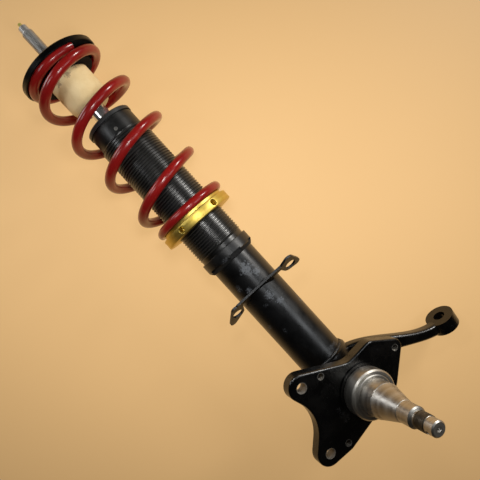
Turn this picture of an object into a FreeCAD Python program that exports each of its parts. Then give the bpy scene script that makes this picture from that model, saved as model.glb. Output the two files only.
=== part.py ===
import FreeCAD, Part
import math
import os
import re

import Sketcher

# A coilover strut with its stub axle, upright as it stands in the car: +Z runs up the strut's
# axis, -Y is the outboard side that the stub axle points to, and the origin is the mouth of the
# ball joint bore in the foot of the knuckle. Lengths are in millimetres, angles in degrees.

Vector = FreeCAD.Vector

SIZES = {
    # strut tube and what stands on it
    "tube_radius": 25.0,
    "tube_bore": 22.0,
    "tube_foot": 50.0,
    "tube_top": 377.0,
    "collar_radius": 29.0,
    "collar_height": 15.0,
    "collar_top": 221.0,
    "collar_chamfer": 3.2,
    "notch_width": 15.0,
    "notch_rise": 5.5,
    "notch_floor": 26.3,
    "notch_count": 6,
    "sleeve_radius": 27.8,
    "sleeve_bore": 25.1,
    "sleeve_neck": 3.0,
    "sleeve_top": 376.5,
    "thread_pitch": 3.0,
    "thread_depth": 1.2,
    "thread_mouth": 2.2,
    "thread_count": 50,
    # top cap, called the gland nut
    "gland_foot": 352.0,
    "gland_skirt_radius": 25.6,
    "gland_lip_radius": 26.4,
    "gland_lip": 5.0,
    "gland_top": 400.0,
    "lock_screw_height": 382.0,
    "lock_screw_radius": 2.0,
    "lock_screw_length": 4.0,
    # spring seat ring
    "ring_radius": 41.5,
    "ring_step_radius": 40.4,
    "ring_bore": 28.1,
    "ring_bottom": 256.5,
    "ring_band": 9.8,
    "ring_top": 270.0,
    "register_radius": 31.3,
    "register_rise": 4.0,
    "spanner_hole_radius": 3.25,
    "spanner_hole_depth": 8.0,
    "spanner_hole_count": 6,
    "spanner_hole_turn": 21.6,
    # spring
    "spring_wire": 10.7,
    "spring_end_bore": 63.5,
    "spring_middle_radius": 42.0,
    "spring_length": 203.2,
    "spring_turns": 5.5,
    "spring_pitch": 49.75,
    "spring_start_turn": -65.2,
    # upper seat
    "seat_radius": 44.6,
    "seat_plate": 4.8,
    "seat_lip": 1.7,
    "seat_lip_wall": 1.6,
    "seat_hub_radius": 31.3,
    "seat_hub": 12.2,
    # rod
    "rod_radius": 9.0,
    "stud_shank_radius": 6.8,
    "stud_radius": 6.0,
    "stud_relief": 0.8,
    "stud_length": 47.3,
    "rod_tip_radius": 5.0,
    "rod_tip_length": 7.5,
    "needle_bore": 2.1,
    "needle_radius": 2.02,
    "adjuster_radius": 2.9,
    "adjuster_pin_radius": 2.0,
    "adjuster_stand": 4.5,
    "adjuster_pin": 7.0,
    "adjuster_length": 17.5,
    # bump stop
    "stop_radius": 22.5,
    "stop_end_radius": 18.5,
    "stop_foot": 420.0,
    "stop_taper": 12.0,
    # damper
    "pressure_radius": 17.5,
    "pressure_bore": 16.0,
    "pressure_foot": 68.0,
    "guide_height": 16.0,
    "guide_spigot": 6.0,
    "seal_height": 8.0,
    "seal_radius": 17.0,
    "piston_bottom": 292.0,
    "piston_height": 16.0,
    "band_height": 8.0,
    "port_count": 6,
    "port_radius": 1.7,
    "port_circle": 10.2,
    "shim_stack": 1.6,
    "shim_radius": 13.0,
    "nut_height": 9.0,
    "nut_flats": 19.0,
    "rod_spigot_radius": 5.0,
    # stub axle, along its own axis from where it meets the strut's axis
    "cross_height": 36.0,
    "spindle_drop": 16.0,
    "shank_start": 12.0,
    "shank_radius": 14.0,
    "plate_back": 28.5,
    "plate_thickness": 12.0,
    "plate_rim": 2.2,
    "seal_land_radius": 25.0,
    "seal_land_end": 57.5,
    "inner_journal_radius": 17.5,
    "inner_journal_end": 73.5,
    "outer_journal_radius": 10.0,
    "outer_journal_start": 99.5,
    "outer_journal_end": 115.0,
    "axle_thread_radius": 8.0,
    "axle_thread_end": 130.0,
    "axle_tip_radius": 7.4,
    "axle_tip": 140.0,
    "cotter_place": 133.0,
    "cotter_radius": 1.9,
    # plate of the knuckle, sideways and up from the stub axle's axis
    "lug_upper_x": -46.9,
    "lug_upper_y": 52.7,
    "lug_upper_radius": 13.2,
    "lug_lower_x": -65.5,
    "lug_lower_y": -20.0,
    "lug_lower_radius": 13.5,
    "lug_hole_radius": 5.25,
    "shield_circle": 53.2,
    "shield_turn_upper": 119.0,
    "shield_turn_lower": 211.3,
    "shield_turn_arm": 6.8,
    "shield_lug_radius": 9.0,
    "shield_hole_radius": 3.4,
    "brow_x": 29.5,
    "brow_y": 21.0,
    "brow_radius": 13.0,
    "saddle_x": 10.5,
    "saddle_y": 54.0,
    "saddle_radius": 20.0,
    "chin_x": 22.0,
    "chin_y": -12.0,
    "chin_radius": 17.0,
    "scoop_x": -94.5,
    "scoop_y": 27.0,
    "scoop_radius": 40.0,
    # body of the knuckle
    "foot_radius": 25.0,
    "socket_radius": 28.3,
    "socket_top": 66.0,
    "socket_start": 46.0,
    "hub_root_radius": 20.0,
    "hub_radius": 28.0,
    "ball_bore_radius": 8.5,
    "ball_bore_depth": 21.0,
    "pinch_height": 11.0,
    "pinch_back": 24.0,
    "pinch_lug": 32.0,
    "pinch_radius": 5.2,
    "pinch_slit": 3.0,
    # steering arm
    "arm_centre": 22.0,
    "arm_width": 14.0,
    "eye_x": 124.5,
    "eye_top": -23.0,
    "eye_height": 15.0,
    "eye_radius": 15.5,
    "eye_taper_radius": 7.4,
    "eye_land_radius": 6.2,
    "eye_land": 4.0,
    # hose bracket
    "bracket_height": 152.0,
    "bracket_tilt": 30.0,
    "bracket_turn": -15.0,
    "bracket_plate": 2.5,
    "bracket_front": 32.4,
    "bracket_hole_radius": 6.1,
    "ear_right_x": 40.4,
    "ear_right_y": -22.2,
    "ear_left_x": -33.2,
    "ear_left_y": -18.6,
}

doc = FreeCAD.newDocument("coilover")
sheet = doc.addObject("Spreadsheet::Sheet", "dim")
for row, (alias, number) in enumerate(SIZES.items(), start=1):
    sheet.set("A%d" % row, alias)
    sheet.set("B%d" % row, str(number))
    sheet.setAlias("B%d" % row, alias)
doc.recompute()

parts = []


# Words and numbers


def dim(text):
    # "rod_radius - 2" becomes an expression on the sheet's cells
    return re.sub("[a-z_]+", lambda word: "dim." + word[0] if word[0] in SIZES else word[0], text)


def value(text):
    # the same expression as a plain number, in which a sketch is drawn before it is bound
    return float(sheet.evalExpression(dim(text)))


# Where a feature sits: each place is three expressions, and a turn about the sketch's X axis


def origin_plane(body, role):
    return next(plane for plane in body.Origin.OriginFeatures if plane.Role == role)


def attach(feature, body, role, place=("0", "0", "0"), turn="0", axis=Vector(1, 0, 0)):
    feature.AttachmentSupport = [(origin_plane(body, role), "")]
    feature.MapMode = "FlatFace"
    base = Vector(*[value(text) for text in place])
    feature.AttachmentOffset = FreeCAD.Placement(base, FreeCAD.Rotation(axis, value(turn)))
    for letter, text in zip("xyz", place):
        feature.setExpression("AttachmentOffset.Base." + letter, dim(text))
    if turn != "0":
        feature.setExpression("AttachmentOffset.Rotation.Angle", dim(turn))


def along_axle(distance, side="0", up="0"):
    # a point on the stub axle's axis, or sideways and up from it, on the XZ plane
    height = "cross_height - (%s) * sin(spindle_drop) + (%s) * cos(spindle_drop)" % (distance, up)
    depth = "(%s) * cos(spindle_drop) + (%s) * sin(spindle_drop)" % (distance, up)
    return side, height, depth


def beside_axle(distance, side, up):
    # the same point as X, Y and Z
    side, height, depth = along_axle(distance, side, up)
    return side, "0 - (%s)" % depth, height


def attach_to_axle(feature, body, distance, side="0", up="0"):
    attach(feature, body, "XZ_Plane", along_axle(distance, side, up), "spindle_drop")


# Sketches


def bind(sketch, kind, geometry, point, text):
    index = sketch.addConstraint(Sketcher.Constraint(kind, -1, 1, geometry, point, value(text)))
    name = "%s%d" % (kind, index)
    sketch.renameConstraint(index, name)
    sketch.setExpression("Constraints." + name, dim(text))


def bind_point(sketch, geometry, point, across, up):
    if across == "0":
        sketch.addConstraint(Sketcher.Constraint("PointOnObject", geometry, point, -2))
    else:
        bind(sketch, "DistanceX", geometry, point, across)
    if up == "0":
        sketch.addConstraint(Sketcher.Constraint("PointOnObject", geometry, point, -1))
    else:
        bind(sketch, "DistanceY", geometry, point, up)


def bind_radius(sketch, geometry, text):
    index = sketch.addConstraint(Sketcher.Constraint("Radius", geometry, value(text)))
    name = "Radius%d" % index
    sketch.renameConstraint(index, name)
    sketch.setExpression("Constraints." + name, dim(text))


def new_sketch(body, name, role="XZ_Plane", place=("0", "0", "0"), turn="0", axis=Vector(1, 0, 0)):
    sketch = body.newObject("Sketcher::SketchObject", name)
    attach(sketch, body, role, place, turn, axis)
    return sketch


def draw_polygon(sketch, points):
    corners = [Vector(value(across), value(up), 0) for across, up in points]
    lines = []
    for corner, following in zip(corners, corners[1:] + corners[:1]):
        lines.append(sketch.addGeometry(Part.LineSegment(corner, following)))
    for line, following in zip(lines, lines[1:] + lines[:1]):
        sketch.addConstraint(Sketcher.Constraint("Coincident", line, 2, following, 1))
    for line, (across, up) in zip(lines, points):
        bind_point(sketch, line, 1, across, up)


def draw_circle(sketch, across, up, radius):
    centre = Vector(value(across), value(up), 0)
    circle = sketch.addGeometry(Part.Circle(centre, Vector(0, 0, 1), value(radius)))
    bind_point(sketch, circle, 3, across, up)
    bind_radius(sketch, circle, radius)


def in_turn(circles):
    # the same circles, counter-clockwise round their middle
    places = [Vector(value(across), value(up), 0) for across, up, radius in circles]
    middle = sum(places, Vector()) / len(places)
    order = sorted(range(len(circles)), key=lambda index: turn_of(places[index] - middle))
    return [circles[index] for index in order]


def turn_of(step):
    return math.atan2(step.y, step.x)


def draw_outline(sketch, circles):
    # circles in counter-clockwise order, each joined to the next by the line that touches both;
    # a negative radius is a hollow, which the outline goes round on its near side
    centres = [Vector(value(across), value(up), 0) for across, up, radius in circles]
    radii = [value(radius) for across, up, radius in circles]
    count = len(circles)
    outward = []
    for here in range(count):
        there = (here + 1) % count
        step = centres[there] - centres[here]
        lean = math.acos((radii[here] - radii[there]) / step.Length)
        outward.append(turn_of(step) - lean)

    def touch(index, angle):
        return centres[index] + Vector(math.cos(angle), math.sin(angle), 0) * radii[index]

    arcs = []
    lines = []
    ends = []
    for here in range(count):
        start, end = outward[here - 1], outward[here]
        if radii[here] < 0:
            start, end = end + math.pi, start + math.pi
        ends.append((1, 2) if radii[here] > 0 else (2, 1))
        sweep = (end - start) % (2 * math.pi)
        ring = Part.Circle(centres[here], Vector(0, 0, 1), abs(radii[here]))
        arcs.append(sketch.addGeometry(Part.ArcOfCircle(ring, start, start + sweep)))
        there = (here + 1) % count
        line = Part.LineSegment(touch(here, outward[here]), touch(there, outward[here]))
        lines.append(sketch.addGeometry(line))
    for here in range(count):
        there = (here + 1) % count
        sketch.addConstraint(Sketcher.Constraint("Tangent", arcs[here], ends[here][1], lines[here], 1))
        sketch.addConstraint(Sketcher.Constraint("Tangent", lines[here], 2, arcs[there], ends[there][0]))
        across, up, radius = circles[here]
        bind_point(sketch, arcs[here], 3, across, up)
        bind_radius(sketch, arcs[here], radius.lstrip("-"))


# Features


def new_body(name):
    body = doc.addObject("PartDesign::Body", name)
    body.Label = name
    parts.append(body)
    return body


def revolve(body, name, points):
    # points are (radius, height) pairs round the body's Z axis
    sketch = new_sketch(body, name + "_profile")
    draw_polygon(sketch, points)
    turn = body.newObject("PartDesign::Revolution", name)
    turn.Profile = sketch
    turn.ReferenceAxis = (sketch, ["V_Axis"])
    turn.Angle = 360
    return turn


def pad(body, name, sketch, length):
    feature = body.newObject("PartDesign::Pad", name)
    feature.Profile = sketch
    feature.Length = value(length)
    feature.setExpression("Length", dim(length))
    return feature


def cylinder(body, kind, name, radius, height):
    feature = body.newObject("PartDesign::%sCylinder" % kind, name)
    feature.Radius = value(radius)
    feature.Height = value(height)
    feature.setExpression("Radius", dim(radius))
    feature.setExpression("Height", dim(height))
    return feature


def cone(body, kind, name, lower_radius, upper_radius, height):
    feature = body.newObject("PartDesign::%sCone" % kind, name)
    feature.Radius1 = value(lower_radius)
    feature.Radius2 = value(upper_radius)
    feature.Height = value(height)
    feature.setExpression("Radius1", dim(lower_radius))
    feature.setExpression("Radius2", dim(upper_radius))
    feature.setExpression("Height", dim(height))
    return feature


def box(body, kind, name, length, width, height):
    feature = body.newObject("PartDesign::%sBox" % kind, name)
    for side, text in (("Length", length), ("Width", width), ("Height", height)):
        setattr(feature, side, value(text))
        feature.setExpression(side, dim(text))
    return feature


def polar(body, name, feature, count):
    pattern = body.newObject("PartDesign::PolarPattern", name)
    pattern.Originals = [feature]
    pattern.Axis = (origin_plane(body, "Z_Axis"), [""])
    pattern.Angle = 360
    pattern.Occurrences = int(value(count))
    pattern.setExpression("Occurrences", dim(count))
    body.Tip = pattern
    return pattern


def turn_body(body, axis, angle, height="0"):
    body.Placement = FreeCAD.Placement(Vector(0, 0, value(height)), FreeCAD.Rotation(axis, value(angle)))
    body.setExpression("Placement.Rotation.Angle", dim(angle))
    if height != "0":
        body.setExpression("Placement.Base.z", dim(height))


def turned_part(name, points):
    body = new_body(name)
    revolve(body, name + "_turned", points)
    return body


def sleeve_part(name, outer, inner, bottom, top):
    return turned_part(name, [(inner, bottom), (outer, bottom), (outer, top), (inner, top)])


# Strut tube and what is fixed to it


def make_strut_tube():
    body = new_body("strut_tube")
    edge = "0.8"
    revolve(body, "tube_wall", [
        ("tube_bore", "tube_foot"),
        ("tube_radius - " + edge, "tube_foot"),
        ("tube_radius", "tube_foot + " + edge),
        ("tube_radius", "tube_top - " + edge),
        ("tube_radius - " + edge, "tube_top"),
        ("tube_bore", "tube_top"),
    ])


def make_tube_foot_plug():
    turned_part("tube_foot_plug", [
        ("0", "tube_foot"),
        ("tube_bore", "tube_foot"),
        ("tube_bore", "tube_foot + 9"),
        ("tube_bore - 2", "tube_foot + 10"),
        ("12", "tube_foot + 10"),
        ("10", "tube_foot + 8"),
        ("0", "tube_foot + 8"),
    ])


def make_support_collar():
    body = new_body("support_collar")
    foot = "collar_top - collar_height"
    revolve(body, "collar_ring", [
        ("tube_radius + 0.1", foot),
        ("collar_radius - collar_chamfer", foot),
        ("collar_radius", foot + " + 1.3 * collar_chamfer"),
        ("collar_radius", "collar_top - 0.6"),
        ("collar_radius - 0.6", "collar_top"),
        ("tube_radius + 0.1", "collar_top"),
    ])
    notch = box(body, "Subtractive", "spanner_notch", "notch_width", "notch_rise + 1", "10")
    corner = ("0 - notch_width / 2", foot + " - 1", "notch_floor")
    attach(notch, body, "XZ_Plane", corner)
    polar(body, "spanner_notches", notch, "notch_count")


def make_threaded_sleeve():
    # the thread is a row of rings, each as deep as the real groove, with no climb
    neck = "sleeve_radius - thread_depth"
    body = turned_part("threaded_sleeve", [
        ("sleeve_bore", "collar_top"),
        (neck, "collar_top"),
        (neck, "collar_top + sleeve_neck"),
        ("sleeve_radius", "collar_top + sleeve_neck + thread_depth / 2"),
        ("sleeve_radius", "sleeve_top - thread_depth"),
        (neck, "sleeve_top"),
        ("sleeve_bore", "sleeve_top"),
    ])
    middle = "collar_top + sleeve_neck + 0.9 * thread_pitch"
    proud = "0.1"
    outline = new_sketch(body, "groove_outline")
    draw_polygon(outline, [
        (neck, middle),
        ("sleeve_radius + " + proud, middle + " + thread_mouth / 2 + " + proud),
        ("sleeve_radius + " + proud, middle + " - thread_mouth / 2 - " + proud),
    ])
    groove = body.newObject("PartDesign::Groove", "groove")
    groove.Profile = outline
    groove.ReferenceAxis = (outline, ["V_Axis"])
    groove.Angle = 360
    row = body.newObject("PartDesign::LinearPattern", "groove_row")
    row.Originals = [groove]
    row.Direction = (origin_plane(body, "Z_Axis"), [""])
    row.Length = value("(thread_count - 1) * thread_pitch")
    row.setExpression("Length", dim("(thread_count - 1) * thread_pitch"))
    row.Occurrences = int(value("thread_count"))
    row.setExpression("Occurrences", dim("thread_count"))
    body.Tip = row


def make_hose_bracket():
    # a flat plate that leans down to the rear; its two ears sweep back beside the tube
    body = new_body("hose_bracket")
    bend = "2.6"
    front = "0 - bracket_front + " + bend
    weld_reach = "15"
    outlines = {
        "strip": [("ear_left_x + 6.5", front, bend), ("ear_right_x - 4", front, bend)],
        "weld_land": [(weld_reach, "0 - 26", "4"), ("0 - " + weld_reach, "0 - 26", "4")],
        "ear_left": [
            ("ear_left_x + 1.6", "ear_left_y - 8.3", "5.3"),
            ("ear_left_x + 7.4", "ear_left_y - 8.4", "3"),
            ("ear_left_x", "ear_left_y", "7.9"),
            ("ear_left_x - 10.4", "ear_left_y + 10.4", "4"),
        ],
        "ear_right": [
            ("ear_right_x + 0.9", "ear_right_y - 9.3", "6.1"),
            ("ear_right_x + 5.9", "ear_right_y + 4.6", "4.9"),
            ("ear_right_x - 0.8", "ear_right_y - 0.4", "8.4"),
            ("ear_right_x - 8.7", "ear_right_y - 7", "3"),
        ],
    }
    for name, circles in outlines.items():
        plane = ("0", "0", "bracket_height")
        outline = new_sketch(body, name + "_outline", "XY_Plane", plane, "0 - bracket_tilt")
        draw_outline(outline, in_turn(circles))
        pad(body, name, outline, "bracket_plate")
    tube = cylinder(body, "Subtractive", "tube_notch", "tube_radius + 0.05", "100")
    attach(tube, body, "XY_Plane", ("0", "0", "bracket_height - 50"))
    for ear in ("ear_right", "ear_left"):
        hole = cylinder(body, "Subtractive", "hole_" + ear, "bracket_hole_radius", "bracket_plate + 4")
        below = "bracket_height - (%s_y) * sin(bracket_tilt) - 2 * cos(bracket_tilt)" % ear
        out = "%s_y * cos(bracket_tilt) - 2 * sin(bracket_tilt)" % ear
        attach(hole, body, "XY_Plane", (ear + "_x", out, below), "0 - bracket_tilt")
    turn_body(body, Vector(0, 0, 1), "bracket_turn")


# Top cap, seals and rod guide


WIPER_RADIUS = "rod_radius + 4"


def make_gland_nut():
    body = new_body("gland_nut")
    spigot = "tube_bore - 0.05"
    revolve(body, "gland_turned", [
        ("seal_radius + 0.05", "gland_foot"),
        (spigot, "gland_foot"),
        (spigot, "tube_top"),
        ("gland_skirt_radius", "tube_top"),
        ("gland_skirt_radius", "gland_top - gland_lip - 1.2"),
        ("gland_skirt_radius - 0.8", "gland_top - gland_lip - 1.2"),
        ("gland_skirt_radius - 0.8", "gland_top - gland_lip"),
        ("gland_lip_radius", "gland_top - gland_lip"),
        ("gland_lip_radius", "gland_top - 1.2"),
        ("gland_lip_radius - 1.2", "gland_top"),
        (WIPER_RADIUS + " + 0.05", "gland_top"),
        (WIPER_RADIUS + " + 0.05", "gland_top - 6"),
        ("rod_radius + 0.4", "gland_top - 6"),
        ("rod_radius + 0.4", "gland_foot + seal_height + 0.2"),
        ("seal_radius + 0.05", "gland_foot + seal_height + 0.2"),
    ])
    hole = cylinder(body, "Subtractive", "lock_hole", "lock_screw_radius + 0.03", "lock_screw_length + 4")
    depth = "gland_skirt_radius - lock_screw_length"
    attach(hole, body, "XZ_Plane", ("0", "lock_screw_height", depth))
    turn_body(body, Vector(0, 0, 1), "0 - 10")


def make_gland_lock_screw():
    body = new_body("gland_lock_screw")
    screw = cylinder(body, "Additive", "screw", "lock_screw_radius", "lock_screw_length - 0.4")
    depth = "gland_skirt_radius - lock_screw_length + 0.1"
    attach(screw, body, "XZ_Plane", ("0", "lock_screw_height", depth))
    socket = cylinder(body, "Subtractive", "socket", "lock_screw_radius / 2", "1.6")
    attach(socket, body, "XZ_Plane", ("0", "lock_screw_height", "gland_skirt_radius - 1.8"))
    turn_body(body, Vector(0, 0, 1), "0 - 10")


def make_rod_wiper():
    turned_part("rod_wiper", [
        ("rod_radius + 0.05", "gland_top - 5.9"),
        (WIPER_RADIUS, "gland_top - 5.9"),
        (WIPER_RADIUS, "gland_top"),
        (WIPER_RADIUS + " - 2", "gland_top + 0.3"),
        ("rod_radius + 1", "gland_top + 2.6"),
        ("rod_radius + 0.05", "gland_top + 2.6"),
    ])


def make_rod_seal():
    bottom = "gland_foot"
    turned_part("rod_seal", [
        ("rod_radius + 0.06", bottom + " + 2"),
        ("rod_radius + 1.6", bottom),
        ("seal_radius", bottom),
        ("seal_radius", bottom + " + seal_height"),
        ("rod_radius + 1.6", bottom + " + seal_height"),
        ("rod_radius + 0.06", bottom + " + seal_height - 3"),
    ])


GUIDE_FOOT = "gland_foot - guide_height"


def make_rod_guide():
    top = "gland_foot - 0.1"
    groove = "gland_foot - 6"
    shoulder = GUIDE_FOOT + " + guide_spigot"
    turned_part("rod_guide", [
        ("rod_radius + 1.5", GUIDE_FOOT),
        ("pressure_bore - 0.05", GUIDE_FOOT),
        ("pressure_bore - 0.05", shoulder),
        ("tube_bore - 0.1", shoulder),
        ("tube_bore - 0.1", groove + " - 1.4"),
        ("tube_bore - 2.6", groove + " - 1.4"),
        ("tube_bore - 2.6", groove + " + 1.4"),
        ("tube_bore - 0.1", groove + " + 1.4"),
        ("tube_bore - 0.1", top),
        ("rod_radius + 1.5", top),
    ])


def make_guide_bush():
    sleeve_part("guide_bush", "rod_radius + 1.5", "rod_radius + 0.03", GUIDE_FOOT + " + 0.5", "gland_foot - 0.6")


def make_guide_o_ring():
    # eight sides stand for the round section, which no side of the strut shows
    middle = "tube_bore - 1.3"
    level = "gland_foot - 6"
    half = "0.5"
    reach = "1.2"
    turned_part("guide_o_ring", [
        (middle + " - " + reach, level + " - " + half),
        (middle + " - " + half, level + " - " + reach),
        (middle + " + " + half, level + " - " + reach),
        (middle + " + " + reach, level + " - " + half),
        (middle + " + " + reach, level + " + " + half),
        (middle + " + " + half, level + " + " + reach),
        (middle + " - " + half, level + " + " + reach),
        (middle + " - " + reach, level + " + " + half),
    ])


# Inner cylinder and foot valve


def make_pressure_tube():
    top = GUIDE_FOOT + " + guide_spigot - 0.05"
    sleeve_part("pressure_tube", "pressure_radius", "pressure_bore", "pressure_foot", top)


def make_foot_valve():
    body = new_body("foot_valve")
    seat = "pressure_foot + 6"
    revolve(body, "valve_turned", [
        ("2.05", "pressure_foot - 3"),
        ("12", "pressure_foot - 3"),
        ("13", "tube_foot + 10"),
        ("pressure_radius", "tube_foot + 10"),
        ("pressure_radius", "pressure_foot"),
        ("pressure_bore - 0.05", "pressure_foot"),
        ("pressure_bore - 0.05", seat),
        ("2.05", seat),
    ])
    port = cylinder(body, "Subtractive", "valve_port", "port_radius", "20")
    attach(port, body, "XY_Plane", ("7.5", "0", "pressure_foot - 5"))
    polar(body, "valve_ports", port, "port_count")
    slot = box(body, "Subtractive", "oil_slot", "50", "4", "5")
    attach(slot, body, "XY_Plane", ("0 - 25", "0 - 2", "tube_foot + 9"))
    body.Tip = slot


def make_foot_valve_disc():
    seat = "pressure_foot + 6"
    turned_part("foot_valve_disc", [
        ("2.1", seat),
        ("11", seat),
        ("11", seat + " + 0.5"),
        ("8", seat + " + 0.5"),
        ("8", seat + " + 1"),
        ("2.1", seat + " + 1"),
    ])


def make_foot_valve_rivet():
    seat = "pressure_foot + 7"
    turned_part("foot_valve_rivet", [
        ("0", "pressure_foot - 4.5"),
        ("3.6", "pressure_foot - 4.5"),
        ("3.6", "pressure_foot - 3"),
        ("2", "pressure_foot - 3"),
        ("2", seat),
        ("4", seat),
        ("3", seat + " + 1.6"),
        ("0", seat + " + 2"),
    ])


# Rod and piston

ROD_FOOT = "piston_bottom - shim_stack - nut_height - 2"
ROD_SHOULDER = "piston_bottom + piston_height + shim_stack"
SEAT_UNDERSIDE = "ring_top + spring_length"
HUB_FOOT = "ring_top + spring_length - seat_hub"
NEEDLE_SEAT = "piston_bottom - 8"
SEAT_BOSS = SEAT_UNDERSIDE + " + seat_plate + 1.2"
STUD_TOP = SEAT_BOSS + " + stud_length"
ROD_TIP = STUD_TOP + " + rod_tip_length"
SCREW_TOP = ROD_TIP + " + adjuster_stand"
SCREW_FOOT = SCREW_TOP + " - adjuster_length"
SCREW_WELL = SCREW_FOOT + " - 2"


def make_piston_rod():
    body = new_body("piston_rod")
    revolve(body, "rod_turned", [
        ("needle_bore / 2", ROD_FOOT),
        ("rod_spigot_radius - 0.8", ROD_FOOT),
        ("rod_spigot_radius", ROD_FOOT + " + 0.8"),
        ("rod_spigot_radius", ROD_SHOULDER),
        ("rod_radius", ROD_SHOULDER),
        ("rod_radius", HUB_FOOT + " - 0.8"),
        ("rod_radius - 0.8", HUB_FOOT),
        ("stud_shank_radius", HUB_FOOT),
        ("stud_shank_radius", SEAT_BOSS + " - stud_relief"),
        ("stud_radius - 0.4", SEAT_BOSS + " - stud_relief"),
        ("stud_radius - 0.4", SEAT_BOSS + " + stud_relief - 0.4"),
        ("stud_radius", SEAT_BOSS + " + stud_relief"),
        ("stud_radius", STUD_TOP + " - 1"),
        ("rod_tip_radius", STUD_TOP),
        ("rod_tip_radius", ROD_TIP + " - 1.2"),
        ("rod_tip_radius - 1.2", ROD_TIP),
        ("adjuster_radius + 0.06", ROD_TIP),
        ("adjuster_radius + 0.06", SCREW_WELL),
        ("needle_bore", SCREW_WELL),
        ("needle_bore", NEEDLE_SEAT + " + 1"),
        ("needle_bore / 2", NEEDLE_SEAT),
    ])


def make_metering_needle():
    turned_part("metering_needle", [
        ("0", NEEDLE_SEAT + " + 1.6"),
        ("needle_bore / 2 - 0.4", NEEDLE_SEAT + " + 1.6"),
        ("needle_radius", NEEDLE_SEAT + " + 6"),
        ("needle_radius", SCREW_FOOT),
        ("0", SCREW_FOOT),
    ])


def make_adjuster_screw():
    body = new_body("adjuster_screw")
    revolve(body, "screw_turned", [
        ("0", SCREW_FOOT),
        ("adjuster_radius", SCREW_FOOT),
        ("adjuster_radius", SCREW_TOP + " - adjuster_pin"),
        ("adjuster_pin_radius", SCREW_TOP + " - adjuster_pin"),
        ("adjuster_pin_radius", SCREW_TOP + " - 0.4"),
        ("adjuster_pin_radius - 0.4", SCREW_TOP),
        ("0", SCREW_TOP),
    ])
    slot = box(body, "Subtractive", "driver_slot", "6", "0.8", "3")
    attach(slot, body, "XY_Plane", ("0 - 3", "0 - 0.4", SCREW_TOP + " - 1.2"))


def make_piston():
    body = new_body("piston")
    band_foot = "piston_bottom + (piston_height - band_height) / 2"
    land = "pressure_bore - 0.3"
    floor = "pressure_bore - 1.6"
    revolve(body, "piston_turned", [
        ("rod_spigot_radius", "piston_bottom"),
        (land + " - 0.6", "piston_bottom"),
        (land, "piston_bottom + 0.6"),
        (land, band_foot),
        (floor, band_foot),
        (floor, band_foot + " + band_height"),
        (land, band_foot + " + band_height"),
        (land, "piston_bottom + piston_height - 0.6"),
        (land + " - 0.6", "piston_bottom + piston_height"),
        ("rod_spigot_radius", "piston_bottom + piston_height"),
    ])
    port = cylinder(body, "Subtractive", "port", "port_radius", "piston_height + 4")
    attach(port, body, "XY_Plane", ("port_circle", "0", "piston_bottom - 2"))
    polar(body, "ports", port, "port_count")


def make_piston_band():
    foot = "piston_bottom + (piston_height - band_height) / 2 + 0.05"
    sleeve_part("piston_band", "pressure_bore - 0.03", "pressure_bore - 1.55", foot, foot + " + band_height - 0.1")


def make_shims(name, first, step):
    # three discs, the widest against the piston
    heights = [first + " + %s * shim_stack * %d / 3" % (step, layer) for layer in range(4)]
    corners = [("rod_spigot_radius + 0.05", heights[0])]
    for layer in range(3):
        edge = "shim_radius - %d" % (2 * layer)
        corners.append((edge, heights[layer]))
        corners.append((edge, heights[layer + 1]))
    corners.append(("rod_spigot_radius + 0.05", heights[3]))
    turned_part(name, corners)


def make_piston_nut():
    body = new_body("piston_nut")
    foot = "piston_bottom - shim_stack - nut_height"
    flats = new_sketch(body, "nut_outline", "XY_Plane", ("0", "0", foot))
    corners = []
    for corner in range(6):
        reach = "nut_flats / 2 / cos(30)"
        corners.append(("%s * cos(%d)" % (reach, 60 * corner), "%s * sin(%d)" % (reach, 60 * corner)))
    corners[0] = (corners[0][0], "0")
    corners[3] = (corners[3][0], "0")
    draw_polygon(flats, corners)
    draw_circle(flats, "0", "0", "rod_spigot_radius + 0.02")
    pad(body, "nut_block", flats, "nut_height")


def make_rebound_stop():
    top = GUIDE_FOOT + " - 0.3"
    turned_part("rebound_stop", [
        ("rod_radius + 0.02", top + " - 14"),
        ("12.5", top + " - 14"),
        ("14", top + " - 12"),
        ("14", top + " - 2"),
        ("12.5", top),
        ("rod_radius + 0.02", top),
    ])


def make_bump_stop():
    bore = "rod_radius + 0.2"
    middle = "stop_foot + stop_taper"
    turned_part("bump_stop", [
        (bore, "stop_foot"),
        ("stop_end_radius - 2.5", "stop_foot"),
        ("stop_end_radius", "stop_foot + 2.2"),
        ("stop_radius - 0.7", middle + " - 4"),
        ("stop_radius", middle),
        ("stop_radius", HUB_FOOT),
        (bore, HUB_FOOT),
    ])


def make_upper_spring_seat():
    rim_foot = SEAT_UNDERSIDE + " - seat_lip"
    rim_top = SEAT_UNDERSIDE + " + seat_plate"
    turned_part("upper_spring_seat", [
        ("stud_shank_radius + 0.1", HUB_FOOT + " + 0.05"),
        ("seat_hub_radius - 1", HUB_FOOT + " + 0.05"),
        ("seat_hub_radius", HUB_FOOT + " + 1"),
        ("seat_hub_radius", SEAT_UNDERSIDE),
        ("seat_radius - seat_lip_wall", SEAT_UNDERSIDE),
        ("seat_radius - seat_lip_wall", rim_foot),
        ("seat_radius - 0.6", rim_foot),
        ("seat_radius", rim_foot + " + 0.6"),
        ("seat_radius", rim_top + " - 1"),
        ("seat_radius - 1", rim_top),
        ("stud_shank_radius + 9", rim_top),
        ("stud_shank_radius + 7", SEAT_BOSS),
        ("stud_shank_radius + 0.1", SEAT_BOSS),
    ])


# Spring seat ring and spring


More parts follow.
